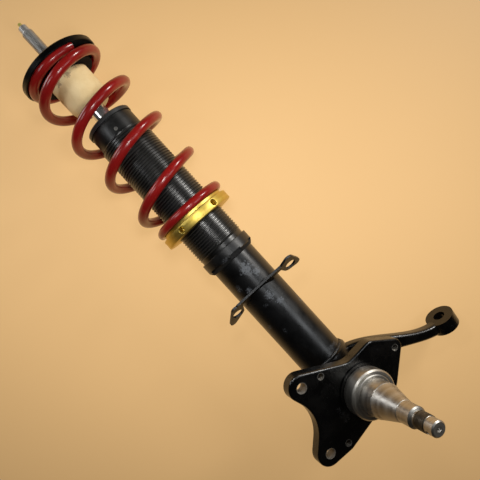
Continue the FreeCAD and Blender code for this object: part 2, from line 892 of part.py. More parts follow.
def make_spring_seat_ring():
    body = new_body("spring_seat_ring")
    band_top = "ring_bottom + ring_band"
    revolve(body, "ring_turned", [
        ("ring_bore", "ring_bottom + 0.8"),
        ("ring_bore + 0.8", "ring_bottom"),
        ("ring_radius - 0.6", "ring_bottom"),
        ("ring_radius", "ring_bottom + 0.6"),
        ("ring_radius", band_top),
        ("ring_step_radius", band_top + " + 0.4"),
        ("ring_step_radius", "ring_top - 0.5"),
        ("ring_step_radius - 0.5", "ring_top"),
        ("register_radius", "ring_top"),
        ("register_radius", "ring_top + register_rise - 0.8"),
        ("register_radius - 0.8", "ring_top + register_rise"),
        ("ring_bore", "ring_top + register_rise"),
    ])
    hole = cylinder(body, "Subtractive", "spanner_hole", "spanner_hole_radius", "spanner_hole_depth + 4")
    attach(hole, body, "XZ_Plane", ("0", "ring_bottom + ring_band / 2", "ring_radius - spanner_hole_depth"))
    polar(body, "spanner_holes", hole, "spanner_hole_count")
    turn_body(body, Vector(0, 0, 1), "spanner_hole_turn")


def ramp(place, knots):
    # straight lines between (place, value) knots
    for (left, low), (right, high) in zip(knots, knots[1:]):
        if place <= right:
            return low + (high - low) * (place - left) / (right - left)
    return knots[-1][1]


class Helix:
    """The spring's centre line, counted in turns down from the tip under the upper seat."""

    SAMPLES = 400

    def __init__(self):
        wire = value("spring_wire")
        turns = value("spring_turns")
        pitch = value("spring_pitch")
        dead = 0.54 * wire
        flat = 0.28 * wire
        end_radius = value("spring_end_bore / 2") + wire / 2
        middle = value("spring_middle_radius")
        self.turns = turns
        self.pitches = [(0, dead), (0.7, dead), (0.95, 0.72 * pitch), (1.5, pitch),
                        (turns - 0.88, pitch), (turns - 0.55, flat), (turns, flat)]
        self.radii = [(0, end_radius), (0.45, end_radius), (1.45, middle),
                      (turns - 1.15, middle), (turns - 0.55, end_radius), (turns, end_radius)]
        self.start = math.radians(value("spring_start_turn"))
        self.top = value(SEAT_UNDERSIDE) - 0.22 * wire
        foot = value("ring_top") + 0.25 * wire
        fall = self.fall(turns)
        self.stretch = (self.top - foot) / fall

    def fall(self, place):
        steps = max(1, int(self.SAMPLES * place / self.turns))
        step = place / steps
        return sum(ramp((index + 0.5) * step, self.pitches) * step for index in range(steps))

    def point(self, place):
        angle = self.start - 2 * math.pi * place
        radius = ramp(place, self.radii)
        height = self.top - self.fall(place) * self.stretch
        return Vector(radius * math.cos(angle), radius * math.sin(angle), height)

    def tangent(self, place):
        small = 1e-3
        return (self.point(place + small) - self.point(max(0, place - small))).normalize()


def biarc(start, start_way, end, end_way):
    # two arcs that leave along start_way, arrive along end_way and meet smoothly
    chord = end - start
    ways = start_way + end_way
    slope = 2 * (1 - start_way.dot(end_way))
    lead = chord.dot(ways)
    reach = (-lead + math.sqrt(lead * lead + slope * chord.dot(chord))) / slope
    first = start + start_way * reach
    second = end - end_way * reach
    middle = (first + second) / 2
    arcs = []
    for near, corner, far in ((start, first, middle), (middle, second, end)):
        # the arc's own middle lies on the line from the corner to the chord's middle
        base = (near + far) / 2
        half = (far - near).Length / 2
        rise = (corner - base).Length
        turn = math.atan2(rise, half)
        sagitta = half * math.tan(turn / 2)
        through = base + (corner - base).normalize() * sagitta
        arcs.append(Part.Arc(near, through, far).toShape())
    return arcs


def least_gap(helix, wire):
    # between parts of the wire that are more than half a turn apart
    count = int(72 * helix.turns)
    line = [helix.point(helix.turns * index / count) for index in range(count + 1)]
    least = 1e9
    for index, here in enumerate(line):
        for there in line[index + 40:]:
            least = min(least, (here - there).Length)
    return least - wire


def make_coil_spring():
    helix = Helix()
    wire = value("spring_wire")
    spans = int(round(4 * helix.turns))
    places = [helix.turns * index / spans for index in range(spans + 1)]
    arcs = []
    for near, far in zip(places, places[1:]):
        arcs += biarc(helix.point(near), helix.tangent(near), helix.point(far), helix.tangent(far))
    path = Part.Wire(arcs)
    section = Part.Circle(helix.point(0), helix.tangent(0), wire / 2).toShape()
    tube = path.makePipeShell([Part.Wire([section])], True, False)
    # both ends are ground flat
    foot = value("ring_top") + 0.05
    top = value(SEAT_UNDERSIDE) - 0.05
    stock = Part.makeCylinder(2 * value("spring_middle_radius"), top - foot, Vector(0, 0, foot))
    spring = doc.addObject("Part::Feature", "coil_spring")
    spring.Shape = tube.common(stock).Solids[0]
    spring.Label = "coil_spring"
    parts.append(spring)
    gap = least_gap(helix, wire)
    print("coil_spring: least gap between turns %.2f mm" % gap)
    if gap < 0.4:
        raise ValueError("the spring's turns touch")


# Knuckle and stub axle


def make_knuckle():
    body = new_body("knuckle")
    revolve(body, "foot_column", [
        ("0", "0"),
        ("foot_radius - 2", "0"),
        ("foot_radius", "2"),
        ("foot_radius", "socket_start - 6"),
        ("socket_radius", "socket_start"),
        ("socket_radius", "socket_top - 1.5"),
        ("socket_radius - 1.5", "socket_top"),
        ("0", "socket_top"),
    ])
    hub = cone(body, "Additive", "hub", "hub_root_radius", "hub_radius", "plate_back + 1")
    attach_to_axle(hub, body, "0")
    make_plate(body)
    make_arm(body)
    ears = cylinder(body, "Additive", "pinch_ears", "pinch_height - 0.5", "pinch_lug")
    attach(ears, body, "YZ_Plane", ("pinch_back", "pinch_height", "0 - pinch_lug / 2"))
    boss = cylinder(body, "Additive", "axle_boss", "seal_land_radius + 3", "1.5")
    attach_to_axle(boss, body, "plate_back + plate_thickness")
    cut_knuckle(body)


def shield_lug(turn):
    return "shield_circle * cos(%s)" % turn, "shield_circle * sin(%s)" % turn, "shield_lug_radius"


def make_plate(body):
    outline = new_sketch(body, "plate_outline")
    attach_to_axle(outline, body, "plate_back")
    draw_outline(outline, [
        shield_lug("shield_turn_arm"),
        ("brow_x", "brow_y", "brow_radius"),
        ("saddle_x", "saddle_y", "-saddle_radius"),
        ("lug_upper_x", "lug_upper_y", "lug_upper_radius"),
        ("scoop_x", "scoop_y", "-scoop_radius"),
        ("lug_lower_x", "lug_lower_y", "lug_lower_radius"),
        shield_lug("shield_turn_lower"),
        ("chin_x", "chin_y", "chin_radius"),
    ])
    pad(body, "plate", outline, "plate_thickness")
    round_plate_rim(body)


def round_plate_rim(body):
    doc.recompute()
    tip = body.Tip
    drop = math.radians(value("spindle_drop"))
    way = Vector(0, -math.cos(drop), -math.sin(drop))
    front = value("plate_back + plate_thickness")
    centre = Vector(0, 0, value("cross_height"))
    rim = []
    for number, edge in enumerate(tip.Shape.Edges, start=1):
        places = [vertex.Point for vertex in edge.Vertexes] + [edge.CenterOfMass]
        if all(abs((place - centre).dot(way) - front) < 0.01 for place in places):
            rim.append("Edge%d" % number)
    rounding = body.newObject("PartDesign::Fillet", "plate_rim")
    rounding.Base = (tip, rim)
    rounding.Radius = value("plate_rim")
    rounding.setExpression("Radius", dim("plate_rim"))


def make_arm(body):
    # forged arm from the column to the eye: rounded sections on planes across it
    stations = [
        ("21", "2", "11", "32"),
        ("42", "9", "7", "26"),
        ("65", "17", "0 - 4", "19"),
        ("eye_x - 22", "arm_centre", "0 - 26", "14"),
        ("eye_x - 7", "arm_centre", "eye_top - eye_height / 2 - 0.5", "14"),
    ]
    sections = []
    for index, (side, distance, up, height) in enumerate(stations):
        side, back, level = beside_axle(distance, side, up)
        sketch = new_sketch(body, "arm_section_%d" % index, "YZ_Plane", (back, level, side),
                            "spindle_drop", Vector(0, 0, 1))
        corner = "4"
        wide = "(arm_width / 2 - %s)" % corner
        tall = "((%s) / 2 - %s)" % (height, corner)
        draw_outline(sketch, [
            ("0 - " + wide, "0 - " + tall, corner),
            (wide, "0 - " + tall, corner),
            (wide, tall, corner),
            ("0 - " + wide, tall, corner),
        ])
        sections.append(sketch)
    arm = body.newObject("PartDesign::AdditiveLoft", "arm")
    arm.Profile = sections[0]
    arm.Sections = sections[1:]
    arm.Ruled = False
    doc.recompute()
    eye = cylinder(body, "Additive", "eye", "eye_radius", "eye_height")
    attach(eye, body, "XY_Plane", beside_axle("arm_centre", "eye_x", "eye_top - eye_height"), "spindle_drop")
    seat_length = "eye_height - eye_land"
    seat = cone(body, "Subtractive", "eye_taper", "eye_taper_radius", "eye_land_radius", seat_length)
    attach(seat, body, "XY_Plane", beside_axle("arm_centre", "eye_x", "eye_top - eye_height"), "spindle_drop")
    land = cylinder(body, "Subtractive", "eye_land_hole", "eye_land_radius", "eye_land + 5")
    attach(land, body, "XY_Plane", beside_axle("arm_centre", "eye_x", "eye_top - eye_land"), "spindle_drop")


def cut_knuckle(body):
    socket = cylinder(body, "Subtractive", "tube_socket", "tube_radius + 0.05", "40")
    attach(socket, body, "XY_Plane", ("0", "0", "tube_foot"))
    shank = cylinder(body, "Subtractive", "axle_bore", "shank_radius", "plate_back + plate_thickness")
    attach_to_axle(shank, body, "shank_start")
    ball = cylinder(body, "Subtractive", "ball_bore", "ball_bore_radius", "ball_bore_depth + 5")
    attach(ball, body, "XY_Plane", ("0", "0", "0 - 5"))
    slit = box(body, "Subtractive", "pinch_gap", "pinch_slit", "40", "ball_bore_depth + 5")
    attach(slit, body, "XY_Plane", ("0 - pinch_slit / 2", "0", "0 - 5"))
    pinch = cylinder(body, "Subtractive", "pinch_hole", "pinch_radius", "50")
    attach(pinch, body, "YZ_Plane", ("pinch_back", "pinch_height", "0 - 25"))
    for lug in ("upper", "lower"):
        hole = cylinder(body, "Subtractive", "lug_hole_" + lug, "lug_hole_radius", "plate_thickness + 20")
        attach_to_axle(hole, body, "plate_back - 10", "lug_%s_x" % lug, "lug_%s_y" % lug)
    for lug in ("upper", "lower", "arm"):
        across, up, radius = shield_lug("shield_turn_" + lug)
        hole = cylinder(body, "Subtractive", "shield_hole_" + lug, "shield_hole_radius", "plate_thickness + 2")
        attach_to_axle(hole, body, "plate_back - 1", across, up)
        body.Tip = hole


def make_stub_axle():
    body = new_body("stub_axle")
    face = "plate_back + plate_thickness + 1.5"
    revolve(body, "axle_turned", [
        ("0", "shank_start + 1"),
        ("shank_radius - 1", "shank_start + 1"),
        ("shank_radius", "shank_start + 2"),
        ("shank_radius", face),
        ("seal_land_radius - 0.5", face),
        ("seal_land_radius - 0.5", face + " + 1"),
        ("seal_land_radius", face + " + 1.5"),
        ("seal_land_radius", "seal_land_end - 1.5"),
        ("seal_land_radius - 1.5", "seal_land_end"),
        ("inner_journal_radius + 3", "seal_land_end"),
        ("inner_journal_radius + 2", "seal_land_end + 0.6"),
        ("inner_journal_radius - 0.3", "seal_land_end + 0.6"),
        ("inner_journal_radius - 0.3", "seal_land_end + 1.6"),
        ("inner_journal_radius", "seal_land_end + 1.9"),
        ("inner_journal_radius", "inner_journal_end"),
        ("inner_journal_radius - 0.4", "inner_journal_end + 0.6"),
        ("outer_journal_radius + 0.4", "outer_journal_start - 0.5"),
        ("outer_journal_radius", "outer_journal_start"),
        ("outer_journal_radius", "outer_journal_end - 1"),
        ("axle_thread_radius + 0.6", "outer_journal_end"),
        ("axle_thread_radius - 0.9", "outer_journal_end + 0.6"),
        ("axle_thread_radius - 0.9", "outer_journal_end + 2.4"),
        ("axle_thread_radius", "outer_journal_end + 3.2"),
        ("axle_thread_radius", "axle_thread_end - 0.6"),
        ("axle_tip_radius", "axle_thread_end"),
        ("axle_tip_radius", "axle_tip - 1.2"),
        ("axle_tip_radius - 1.2", "axle_tip"),
        ("2.4", "axle_tip"),
        ("1.2", "axle_tip - 2.2"),
        ("0", "axle_tip - 4"),
    ])
    cotter = cylinder(body, "Subtractive", "cotter_hole", "cotter_radius", "40")
    attach(cotter, body, "YZ_Plane", ("0", "cotter_place", "0 - 20"))
    turn_body(body, Vector(1, 0, 0), "90 + spindle_drop", "cross_height")


# The whole strut

make_strut_tube()
make_tube_foot_plug()
make_support_collar()
make_threaded_sleeve()
make_hose_bracket()
make_gland_nut()
make_gland_lock_screw()
make_rod_wiper()
make_rod_seal()
make_rod_guide()
make_guide_bush()
make_guide_o_ring()
make_pressure_tube()
make_foot_valve()
make_foot_valve_disc()
make_foot_valve_rivet()
make_piston_rod()
make_metering_needle()
make_adjuster_screw()
make_piston()
make_piston_band()
make_shims("compression_shims", "piston_bottom + piston_height", "1")
make_shims("rebound_shims", "piston_bottom", "-1")
make_piston_nut()
make_rebound_stop()
make_bump_stop()
make_upper_spring_seat()
make_spring_seat_ring()
make_coil_spring()
make_stub_axle()
make_knuckle()

doc.recompute()
for item in doc.Objects:
    if "Invalid" in item.State or "Error" in item.State:
        raise RuntimeError("%s failed: %s" % (item.Name, item.getStatusString()))

os.makedirs("parts", exist_ok=True)
for part in parts:
    shape = part.Shape
    if shape.isNull() or not shape.isValid() or len(shape.Solids) != 1:
        raise RuntimeError("%s has a bad shape" % part.Label)
    shape.exportStep("parts/%s.step" % part.Label)
    bounds = shape.BoundBox
    print("%-20s %9.1f mm3  z %7.1f to %7.1f" % (part.Label, shape.Volume, bounds.ZMin, bounds.ZMax))
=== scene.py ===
import math

import bmesh
import bpy
from mathutils import Matrix, Vector, noise


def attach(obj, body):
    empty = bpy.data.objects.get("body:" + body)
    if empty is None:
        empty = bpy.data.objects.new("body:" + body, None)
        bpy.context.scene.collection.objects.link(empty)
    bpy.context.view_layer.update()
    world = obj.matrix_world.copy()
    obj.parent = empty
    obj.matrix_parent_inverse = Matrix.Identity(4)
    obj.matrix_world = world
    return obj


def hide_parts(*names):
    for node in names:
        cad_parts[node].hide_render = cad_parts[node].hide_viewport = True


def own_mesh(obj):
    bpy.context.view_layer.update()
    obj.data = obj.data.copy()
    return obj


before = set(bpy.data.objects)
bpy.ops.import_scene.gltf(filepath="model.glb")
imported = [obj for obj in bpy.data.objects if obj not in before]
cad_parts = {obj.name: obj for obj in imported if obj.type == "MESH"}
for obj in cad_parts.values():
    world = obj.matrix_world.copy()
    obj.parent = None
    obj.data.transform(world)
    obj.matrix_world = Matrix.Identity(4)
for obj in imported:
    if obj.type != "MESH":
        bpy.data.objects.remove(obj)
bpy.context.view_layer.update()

mm = 0.001  # the frame is in metres, and sizes below are written in millimetres

# the strut stands along Z; the stub axle leaves it at crossHeight and drops by dropAngle
axle = {"crossHeight": 36.0, "dropAngle": 16.0}
drop = math.radians(axle["dropAngle"])
axleWay = Vector((0, -math.cos(drop), -math.sin(drop)))
axleUp = Vector((0, -math.sin(drop), math.cos(drop)))
axleStart = Vector((0, 0, axle["crossHeight"] * mm))


def onAxle(distance, side=0.0, up=0.0):
    return axleStart + (axleWay * distance + axleUp * up + Vector((1, 0, 0)) * side) * mm


# holes drilled along the axle through the casting's plate, and where they lie, side and up of it
castingPlate = {
    "middle": 34.5, "caliperHoles": ((-46.9, 52.7), (-65.5, -20.0)), "caliperRadius": 5.25,
    "shieldTurns": (119.0, 211.3, 6.8), "shieldCircle": 53.2, "shieldRadius": 3.4,
}
shieldHoles = [(castingPlate["shieldCircle"] * math.cos(math.radians(turn)),
                castingPlate["shieldCircle"] * math.sin(math.radians(turn)))
               for turn in castingPlate["shieldTurns"]]
castingBores = [(onAxle(castingPlate["middle"], *hole), axleWay, radius)
                for holes, radius in ((castingPlate["caliperHoles"], castingPlate["caliperRadius"]),
                                      (shieldHoles, castingPlate["shieldRadius"])) for hole in holes]


# Camera

view = {
    "place": (-0.1189, -0.5171, 0.2220),
    "look": (0.2588, 0.9659, -0.0119),
    "up": (0.6523, -0.1657, 0.7396),
    "lens": 37.75, "sensor": 36,
}


def makeCamera(look):
    back = -Vector(look["look"]).normalized()
    right = Vector(look["up"]).cross(back).normalized()
    up = back.cross(right)
    camera = bpy.data.objects.new("camera", bpy.data.cameras.new("camera"))
    camera.data.lens = look["lens"]
    camera.data.sensor_width = look["sensor"]
    turn = Matrix((right, up, back)).transposed().to_4x4()
    camera.matrix_world = Matrix.Translation(Vector(look["place"])) @ turn
    bpy.context.scene.collection.objects.link(camera)
    bpy.context.scene.camera = camera
    return right, up, back


viewRight, viewUp, viewBack = makeCamera(view)


# Shader groups that several finishes share


def newGroup(name, inputs, *outputs):
    # an input is a number or a vector by its start value, and every output is a number
    group = bpy.data.node_groups.new(name, "ShaderNodeTree")
    for label, start in inputs.items():
        kind = "NodeSocketVector" if isinstance(start, tuple) else "NodeSocketFloat"
        group.interface.new_socket(label, in_out="INPUT", socket_type=kind).default_value = start
    for label in outputs:
        group.interface.new_socket(label, in_out="OUTPUT", socket_type="NodeSocketFloat")
    return group, group.nodes.new("NodeGroupInput").outputs, group.nodes.new("NodeGroupOutput").inputs


def feed(tree, source, socket):
    # a source is another node's socket, or a plain number or colour
    if source is None:
        return
    if isinstance(source, bpy.types.NodeSocket):
        tree.links.new(source, socket)
    else:
        socket.default_value = source


def calculate(tree, operation, *sources):
    node = tree.nodes.new("ShaderNodeMath")
    node.operation = operation
    for socket, source in zip(node.inputs, sources):
        feed(tree, source, socket)
    return node.outputs[0]


def vectorMath(tree, operation, *sources):
    node = tree.nodes.new("ShaderNodeVectorMath")
    node.operation = operation
    for socket, source in zip(node.inputs, sources):
        feed(tree, source, socket)
    return node.outputs["Value" if operation in ("DOT_PRODUCT", "LENGTH") else "Vector"]


def objectPlace(tree):
    return tree.nodes.new("ShaderNodeTexCoord").outputs["Object"]


def noiseValue(tree, spot, scale, detail=3.0, rough=0.55):
    node = tree.nodes.new("ShaderNodeTexNoise")
    for label, source in (("Vector", spot), ("Scale", scale), ("Detail", detail), ("Roughness", rough)):
        feed(tree, source, node.inputs[label])
    return node.outputs["Fac"]


def stretchRange(tree, source, low, high, smooth=True):
    node = tree.nodes.new("ShaderNodeMapRange")
    node.interpolation_type = "SMOOTHSTEP" if smooth else "LINEAR"
    for label, value in (("Value", source), ("From Min", low), ("From Max", high)):
        feed(tree, value, node.inputs[label])
    return node.outputs["Result"]


def overLimit(tree, cloud, amount, limit, drop, width):
    # 1 where a cloud is over a limit, which drops as the amount grows
    edge = calculate(tree, "SUBTRACT", limit, calculate(tree, "MULTIPLY", amount, drop))
    return stretchRange(tree, cloud, edge, calculate(tree, "ADD", edge, width))


zLine = {"Origin": (0.0, 0.0, 0.0), "Axis": (0.0, 0.0, 1.0)}


def fromLine(tree, entry):
    # the way from a line's origin to the point, and how far the point lies from the line
    shift = vectorMath(tree, "SUBTRACT", objectPlace(tree), entry["Origin"])
    return shift, vectorMath(tree, "LENGTH", vectorMath(tree, "CROSS_PRODUCT", shift, entry["Axis"]))


def makeMottle():
    # cloudy patches, from 0 to 1
    group, entry, leave = newGroup("mottle", {"Scale": 60.0, "Low": 0.35, "High": 0.65}, "Mask")
    cloud = noiseValue(group, objectPlace(group), entry["Scale"], detail=5.0, rough=0.6)
    feed(group, stretchRange(group, cloud, entry["Low"], entry["High"]), leave["Mask"])
    return group


def makeScuffs():
    # short rubbed marks: fine noise that shows only inside larger patches
    patchScale, fineLow, fineHigh = 45.0, 0.46, 0.62
    group, entry, leave = newGroup("scuffs", {"Scale": 900.0, "Amount": 0.3}, "Mask")
    spot = objectPlace(group)
    patch = noiseValue(group, spot, patchScale, detail=2.0)
    inside = overLimit(group, patch, entry["Amount"], limit=0.72, drop=0.4, width=0.08)
    cloud = noiseValue(group, spot, entry["Scale"], detail=4.0, rough=0.7)
    fine = stretchRange(group, cloud, fineLow, fineHigh)
    feed(group, calculate(group, "MULTIPLY", inside, fine), leave["Mask"])
    return group


def makeLatheRings():
    # lines round an axis, as a turning tool leaves them, also on faces square to the axis
    group, entry, leave = newGroup("latheRings", {"Spacing": 0.0005, **zLine}, "Height", "Band", "Along")
    shift, away = fromLine(group, entry)
    along = vectorMath(group, "DOT_PRODUCT", shift, entry["Axis"])
    steps = calculate(group, "DIVIDE", calculate(group, "ADD", along, away), entry["Spacing"])
    for label, scale, detail in (("Height", 1.0, 2.0), ("Band", 0.12, 1.0)):
        line = group.nodes.new("ShaderNodeTexNoise")
        line.noise_dimensions = "1D"
        for name, value in (("W", steps), ("Scale", scale), ("Detail", detail)):
            feed(group, value, line.inputs[name])
        feed(group, line.outputs["Fac"], leave[label])
    feed(group, along, leave["Along"])
    return group


def makeFromAxis():
    # how far a point lies from a line
    group, entry, leave = newGroup("fromAxis", zLine, "Distance")
    feed(group, fromLine(group, entry)[1], leave["Distance"])
    return group


def makePlacedMarks():
    # streaky marks round one place, most at its middle and none beyond its reach
    inputs = {"Place": (0.0, 0.0, 0.0), "Reach": 0.02, "Scale": 260.0}
    group, entry, leave = newGroup("placedMarks", inputs, "Mask")
    spot = objectPlace(group)
    away = vectorMath(group, "LENGTH", vectorMath(group, "SUBTRACT", spot, entry["Place"]))
    near = stretchRange(group, away, entry["Reach"], 0.0)
    streak = noiseValue(group, spot, entry["Scale"], detail=6.0, rough=0.75)
    feed(group, overLimit(group, streak, near, limit=0.78, drop=0.42, width=0.12), leave["Mask"])
    return group


def makeSkin():
    # the height of a cast, sprayed or foamed surface
    group, entry, leave = newGroup("skin", {"Scale": 400.0, "Coarse": 60.0, "Share": 0.5}, "Height")
    spot = objectPlace(group)
    fine = noiseValue(group, spot, entry["Scale"], detail=3.0, rough=0.5)
    coarse = noiseValue(group, spot, entry["Coarse"], detail=2.0, rough=0.5)
    part = calculate(group, "MULTIPLY", coarse, entry["Share"])
    feed(group, calculate(group, "ADD", fine, part), leave["Height"])
    return group


def makeDust():
    # scattered specks, 0 or nearly 1
    dotSize, patchScale, patchTop, patchDrop = 0.16, 38.0, 0.75, 0.4
    group, entry, leave = newGroup("dust", {"Scale": 700.0, "Cover": 0.5}, "Mask")
    spot = objectPlace(group)
    cells = group.nodes.new("ShaderNodeTexVoronoi")
    feed(group, spot, cells.inputs["Vector"])
    feed(group, entry["Scale"], cells.inputs["Scale"])
    dot = stretchRange(group, cells.outputs["Distance"], dotSize, 0.0)
    low = calculate(group, "SUBTRACT", patchTop, calculate(group, "MULTIPLY", entry["Cover"], patchDrop))
    here = stretchRange(group, noiseValue(group, spot, patchScale, detail=2.0), low, patchTop)
    feed(group, calculate(group, "MULTIPLY", dot, here), leave["Mask"])
    return group


makers = (makeMottle, makeScuffs, makeLatheRings, makeFromAxis, makePlacedMarks, makeSkin, makeDust)
effects = {group.name: group for group in (make() for make in makers)}
print("shader groups built:", ", ".join(effects))


# Finishes


def addEffect(tree, effect, *values):
    # the values are for the group's inputs, in their order
    node = tree.nodes.new("ShaderNodeGroup")
    node.node_tree = effects[effect]
    for socket, value in zip(node.inputs, values):
        socket.default_value = value
    return node.outputs


# a mix node's factor, its two inputs and its output
mixSockets = {"FLOAT": (0, 2, 3, 0), "RGBA": (0, 6, 7, 2)}


def blend(tree, kind, mask, first, second):
    node = tree.nodes.new("ShaderNodeMix")
    node.data_type = kind
    *inputs, output = mixSockets[kind]
    for index, source in zip(inputs, (mask, first, second)):
        feed(tree, source, node.inputs[index])
    return node.outputs[output]


def rgb(red, green, blue):
    return (red, green, blue, 1.0)


def layer(tree, skin, mask, colour, rough=None):
    # a skin is a colour and a roughness; where the mask is 1, others show
    below, belowRough = skin
    if rough is not None:
        belowRough = blend(tree, "FLOAT", mask, belowRough, rough)
    return blend(tree, "RGBA", mask, below, rgb(*colour)), belowRough


def startFinish(name):
    material = bpy.data.materials.new(name)
    material.use_nodes = True
    return material, material.node_tree, material.node_tree.nodes["Principled BSDF"]


def endFinish(tree, shader, skin, height, look):
    for label, source in zip(("Base Color", "Roughness"), skin):
        feed(tree, source, shader.inputs[label])
    bump = tree.nodes.new("ShaderNodeBump")
    strength, depth = look["bump"]
    for label, source in (("Strength", strength), ("Distance", depth * mm), ("Height", height)):
        feed(tree, source, bump.inputs[label])
    feed(tree, bump.outputs["Normal"], shader.inputs["Normal"])
    shader.inputs["Metallic"].default_value = look["metallic"]
    shader.inputs["Specular IOR Level"].default_value = look.get("specular", 0.5)


bareWall = ((0.20, 0.19, 0.17), 0.5)        # colour and roughness where the drill took the paint away,
shade = ((0.0006, 0.0006, 0.0006), 0.9)     # and deep inside a recess
recessFade, crestFade, endFade = 0.4, 0.5, 0.1   # millimetres over which one skin changes to another
bandLow, bandHigh, stainWidth = 0.3, 0.7, 0.22   # limits in the clouds of turned metal


def boreMask(tree, bores, near=0.15, far=0.3):
    # 1 on the walls of drilled holes
    masks = []
    for origin, axis, radius in bores:
        away = addEffect(tree, "fromAxis", origin, axis)["Distance"]
        masks.append(stretchRange(tree, away, (radius + far) * mm, (radius + near) * mm, smooth=False))
    whole = masks[0]
    for mask in masks[1:]:
        whole = calculate(tree, "MAXIMUM", whole, mask)
    return whole


def frontMask(tree, start=-0.72, end=-0.95):
    # 1 on faces that look along -Y
    apart = tree.nodes.new("ShaderNodeSeparateXYZ")
    feed(tree, tree.nodes.new("ShaderNodeTexCoord").outputs["Normal"], apart.inputs[0])
    return stretchRange(tree, apart.outputs["Y"], start, end)


def makePaint(name, look):
    # a painted, sprayed or anodised skin: two tones in patches, rubbed marks and painted highlights, specks
    # and a fine surface
    material, tree, shader = startFinish(name)
    patch = addEffect(tree, "mottle", look["patchScale"])["Mask"]
    # this mask gathers real scuffs, placed marks and a painted highlight on faces toward the camera; on the
    # tube the placed marks are partly painted highlight
    rubbedAndHighlight = addEffect(tree, "scuffs", *look["scuffs"])["Mask"]
    # faces that look along -Y, toward the camera, take the rubbed colour: a painted highlight, used on the
    # bracket's front edge
    if "frontHighlight" in look:
        edge = calculate(tree, "MULTIPLY", frontMask(tree), look["frontHighlight"])
        rubbedAndHighlight = calculate(tree, "MAXIMUM", rubbedAndHighlight, edge)
    for spot, reach in look.get("marks", ()):
        mark = addEffect(tree, "placedMarks", Vector(spot) * mm, reach * mm, look["markScale"])["Mask"]
        rubbedAndHighlight = calculate(tree, "MAXIMUM", rubbedAndHighlight, mark)
    skin = layer(tree, (rgb(*look["colour"]), look["rough"][0]), patch, look["second"], look["rough"][1])
    skin = layer(tree, skin, rubbedAndHighlight, look["rubbedAndHighlight"], look["rough"][2])
    skin = layer(tree, skin, addEffect(tree, "dust", *look["specks"])["Mask"], look["speck"])
    if "bores" in look:
        skin = layer(tree, skin, boreMask(tree, look["bores"]), *bareWall)
    if "recess" in look:
        away, edge = addEffect(tree, "fromAxis")["Distance"], look["recess"]
        skin = layer(tree, skin, stretchRange(tree, away, edge * mm, (edge - recessFade) * mm), *shade)
    height = addEffect(tree, "skin", *look["skin"])["Height"]
    endFinish(tree, shader, skin, height, {"metallic": 0.0, **look})
    shader.inputs["Coat Weight"].default_value = look.get("coat", 0.0)
    shader.inputs["Coat Roughness"].default_value = look.get("coatRough", 0.1)
    return material


def makeTurned(name, look):
    # turned metal: tool lines round an axis, brighter and darker bands, stains and specks
    material, tree, shader = startFinish(name)
    rings = addEffect(tree, "latheRings", look["spacing"] * mm, *look.get("line", ()))
    scale, low = look["stains"]
    stain = addEffect(tree, "mottle", scale, low, low + stainWidth)["Mask"]
    band = stretchRange(tree, rings["Band"], bandLow, bandHigh)
    skin = layer(tree, (rgb(*look["colour"]), look["rough"][0]), band, look["second"], look["rough"][1])
    skin = layer(tree, skin, stain, look["stain"], look["rough"][2])
    skin = layer(tree, skin, addEffect(tree, "dust", *look["specks"])["Mask"], look["speck"])
    # the thread crests take a lighter colour: partly wear, partly a painted reflection of the table
    if "crest" in look:
        radius, *other = look["crest"]
        away = addEffect(tree, "fromAxis")["Distance"]
        skin = layer(tree, skin, stretchRange(tree, away, (radius - crestFade) * mm, radius * mm), *other)
    if "above" in look:
        height, *other = look["above"]
        over = stretchRange(tree, rings["Along"], height * mm, (height + endFade) * mm)
        skin = layer(tree, skin, over, *other)
    if "dirty" in look:
        start, end, *other = look["dirty"]
        after = stretchRange(tree, rings["Along"], (start - endFade) * mm, (start + endFade) * mm)
        before = stretchRange(tree, rings["Along"], (end + endFade) * mm, (end - endFade) * mm)
        skin = layer(tree, skin, calculate(tree, "MULTIPLY", after, before), *other)
    endFinish(tree, shader, skin, rings["Height"], {"metallic": 1.0, **look})
    return material


